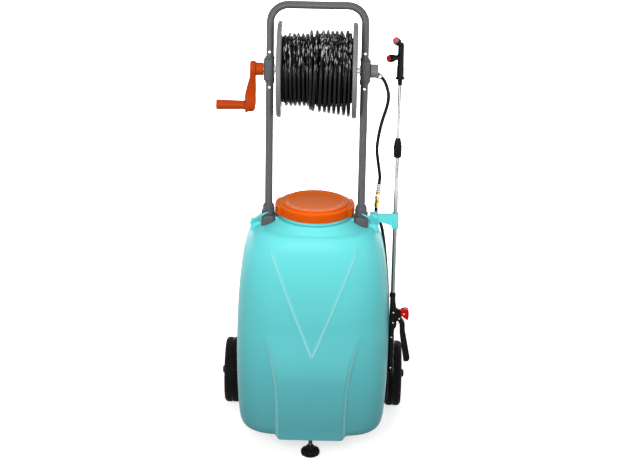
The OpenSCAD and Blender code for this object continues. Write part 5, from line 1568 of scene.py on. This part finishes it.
def add_floor():
    mesh = bpy.data.meshes.new("floor")
    r = FLOOR_REACH
    mesh.from_pydata([(-r, -r, 0), (r, -r, 0), (r, r, 0), (-r, r, 0)], [], [(0, 1, 2, 3)])
    floor = link("floor", mesh)
    material, tree, shader = new_finish("pale floor", {"Roughness": 0.9, SHEEN: 0.1})
    seen = seen_directly(tree)
    shade = mix_colour(tree, seen, tone(*[FLOOR_BOUNCE]*3), tone(*[FLOOR_GREY]*3))
    tree.links.new(shade, shader.inputs["Base Color"])
    place = tree.nodes.new("ShaderNodeTexCoord")
    reach = tree.nodes.new("ShaderNodeVectorMath")
    reach.operation = "LENGTH"
    tree.links.new(place.outputs["Object"], reach.inputs[0])
    far = math_node(tree, "MULTIPLY_ADD", reach.outputs["Value"], FLOOR_GAIN, FLOOR_GLOW)
    shader.inputs["Emission Color"].default_value = (1, 1, 1, 1)
    tree.links.new(math_node(tree, "MULTIPLY", seen, far), shader.inputs["Emission Strength"])
    mesh.materials.append(material)


def add_world():
    world = bpy.data.worlds.new("studio")
    bpy.context.scene.world = world
    world.use_nodes = True
    tree = world.node_tree
    plain = tree.nodes["Background"]
    plain.inputs["Color"].default_value = (0.93, 0.97, 1, 1)
    plain.inputs["Strength"].default_value = WORLD_LIGHT
    white = tree.nodes.new("ShaderNodeBackground")
    white.inputs["Strength"].default_value = 1.0
    white.inputs["Color"].default_value = (1, 1, 1, 1)
    both = tree.nodes.new("ShaderNodeMixShader")
    tree.links.new(seen_directly(tree), both.inputs[0])
    tree.links.new(plain.outputs[0], both.inputs[1])
    tree.links.new(white.outputs[0], both.inputs[2])
    tree.links.new(both.outputs[0], tree.nodes["World Output"].inputs["Surface"])


def add_lamp(name, where, aim, size, power):
    """Rectangular lamp, its power in watts."""
    data = bpy.data.lights.new(name, "AREA")
    data.shape, data.size, data.size_y = "RECTANGLE", size[0], size[1]
    data.energy = power
    lamp = bpy.data.objects.new(name, data)
    bpy.context.scene.collection.objects.link(lamp)
    lamp.location = where
    lamp.rotation_euler = (Vector(aim) - Vector(where)).to_track_quat("-Z", "Y").to_euler()


add_floor()
add_world()
add_lamp("key light", (-0.3, -2.7, 1.65), (0, -0.2, 0.72), (1.3, 0.9), 54)
add_lamp("top light", (0.0, -0.35, 2.6), (0, -0.1, 1.2), (0.5, 0.3), 7)
add_lamp("left light", (-2.4, -1.6, 1.8), (0, -0.1, 0.7), (1.2, 1.8), 17)
add_lamp("right light", (2.5, -1.5, 1.8), (0, -0.1, 0.7), (1.2, 1.8), 20)
add_lamp("back light", (0.3, 2.9, 0.6), (0, 0.1, 0.62), (1.4, 0.9), 34)

view = bpy.context.scene.view_settings
view.view_transform = "Standard"
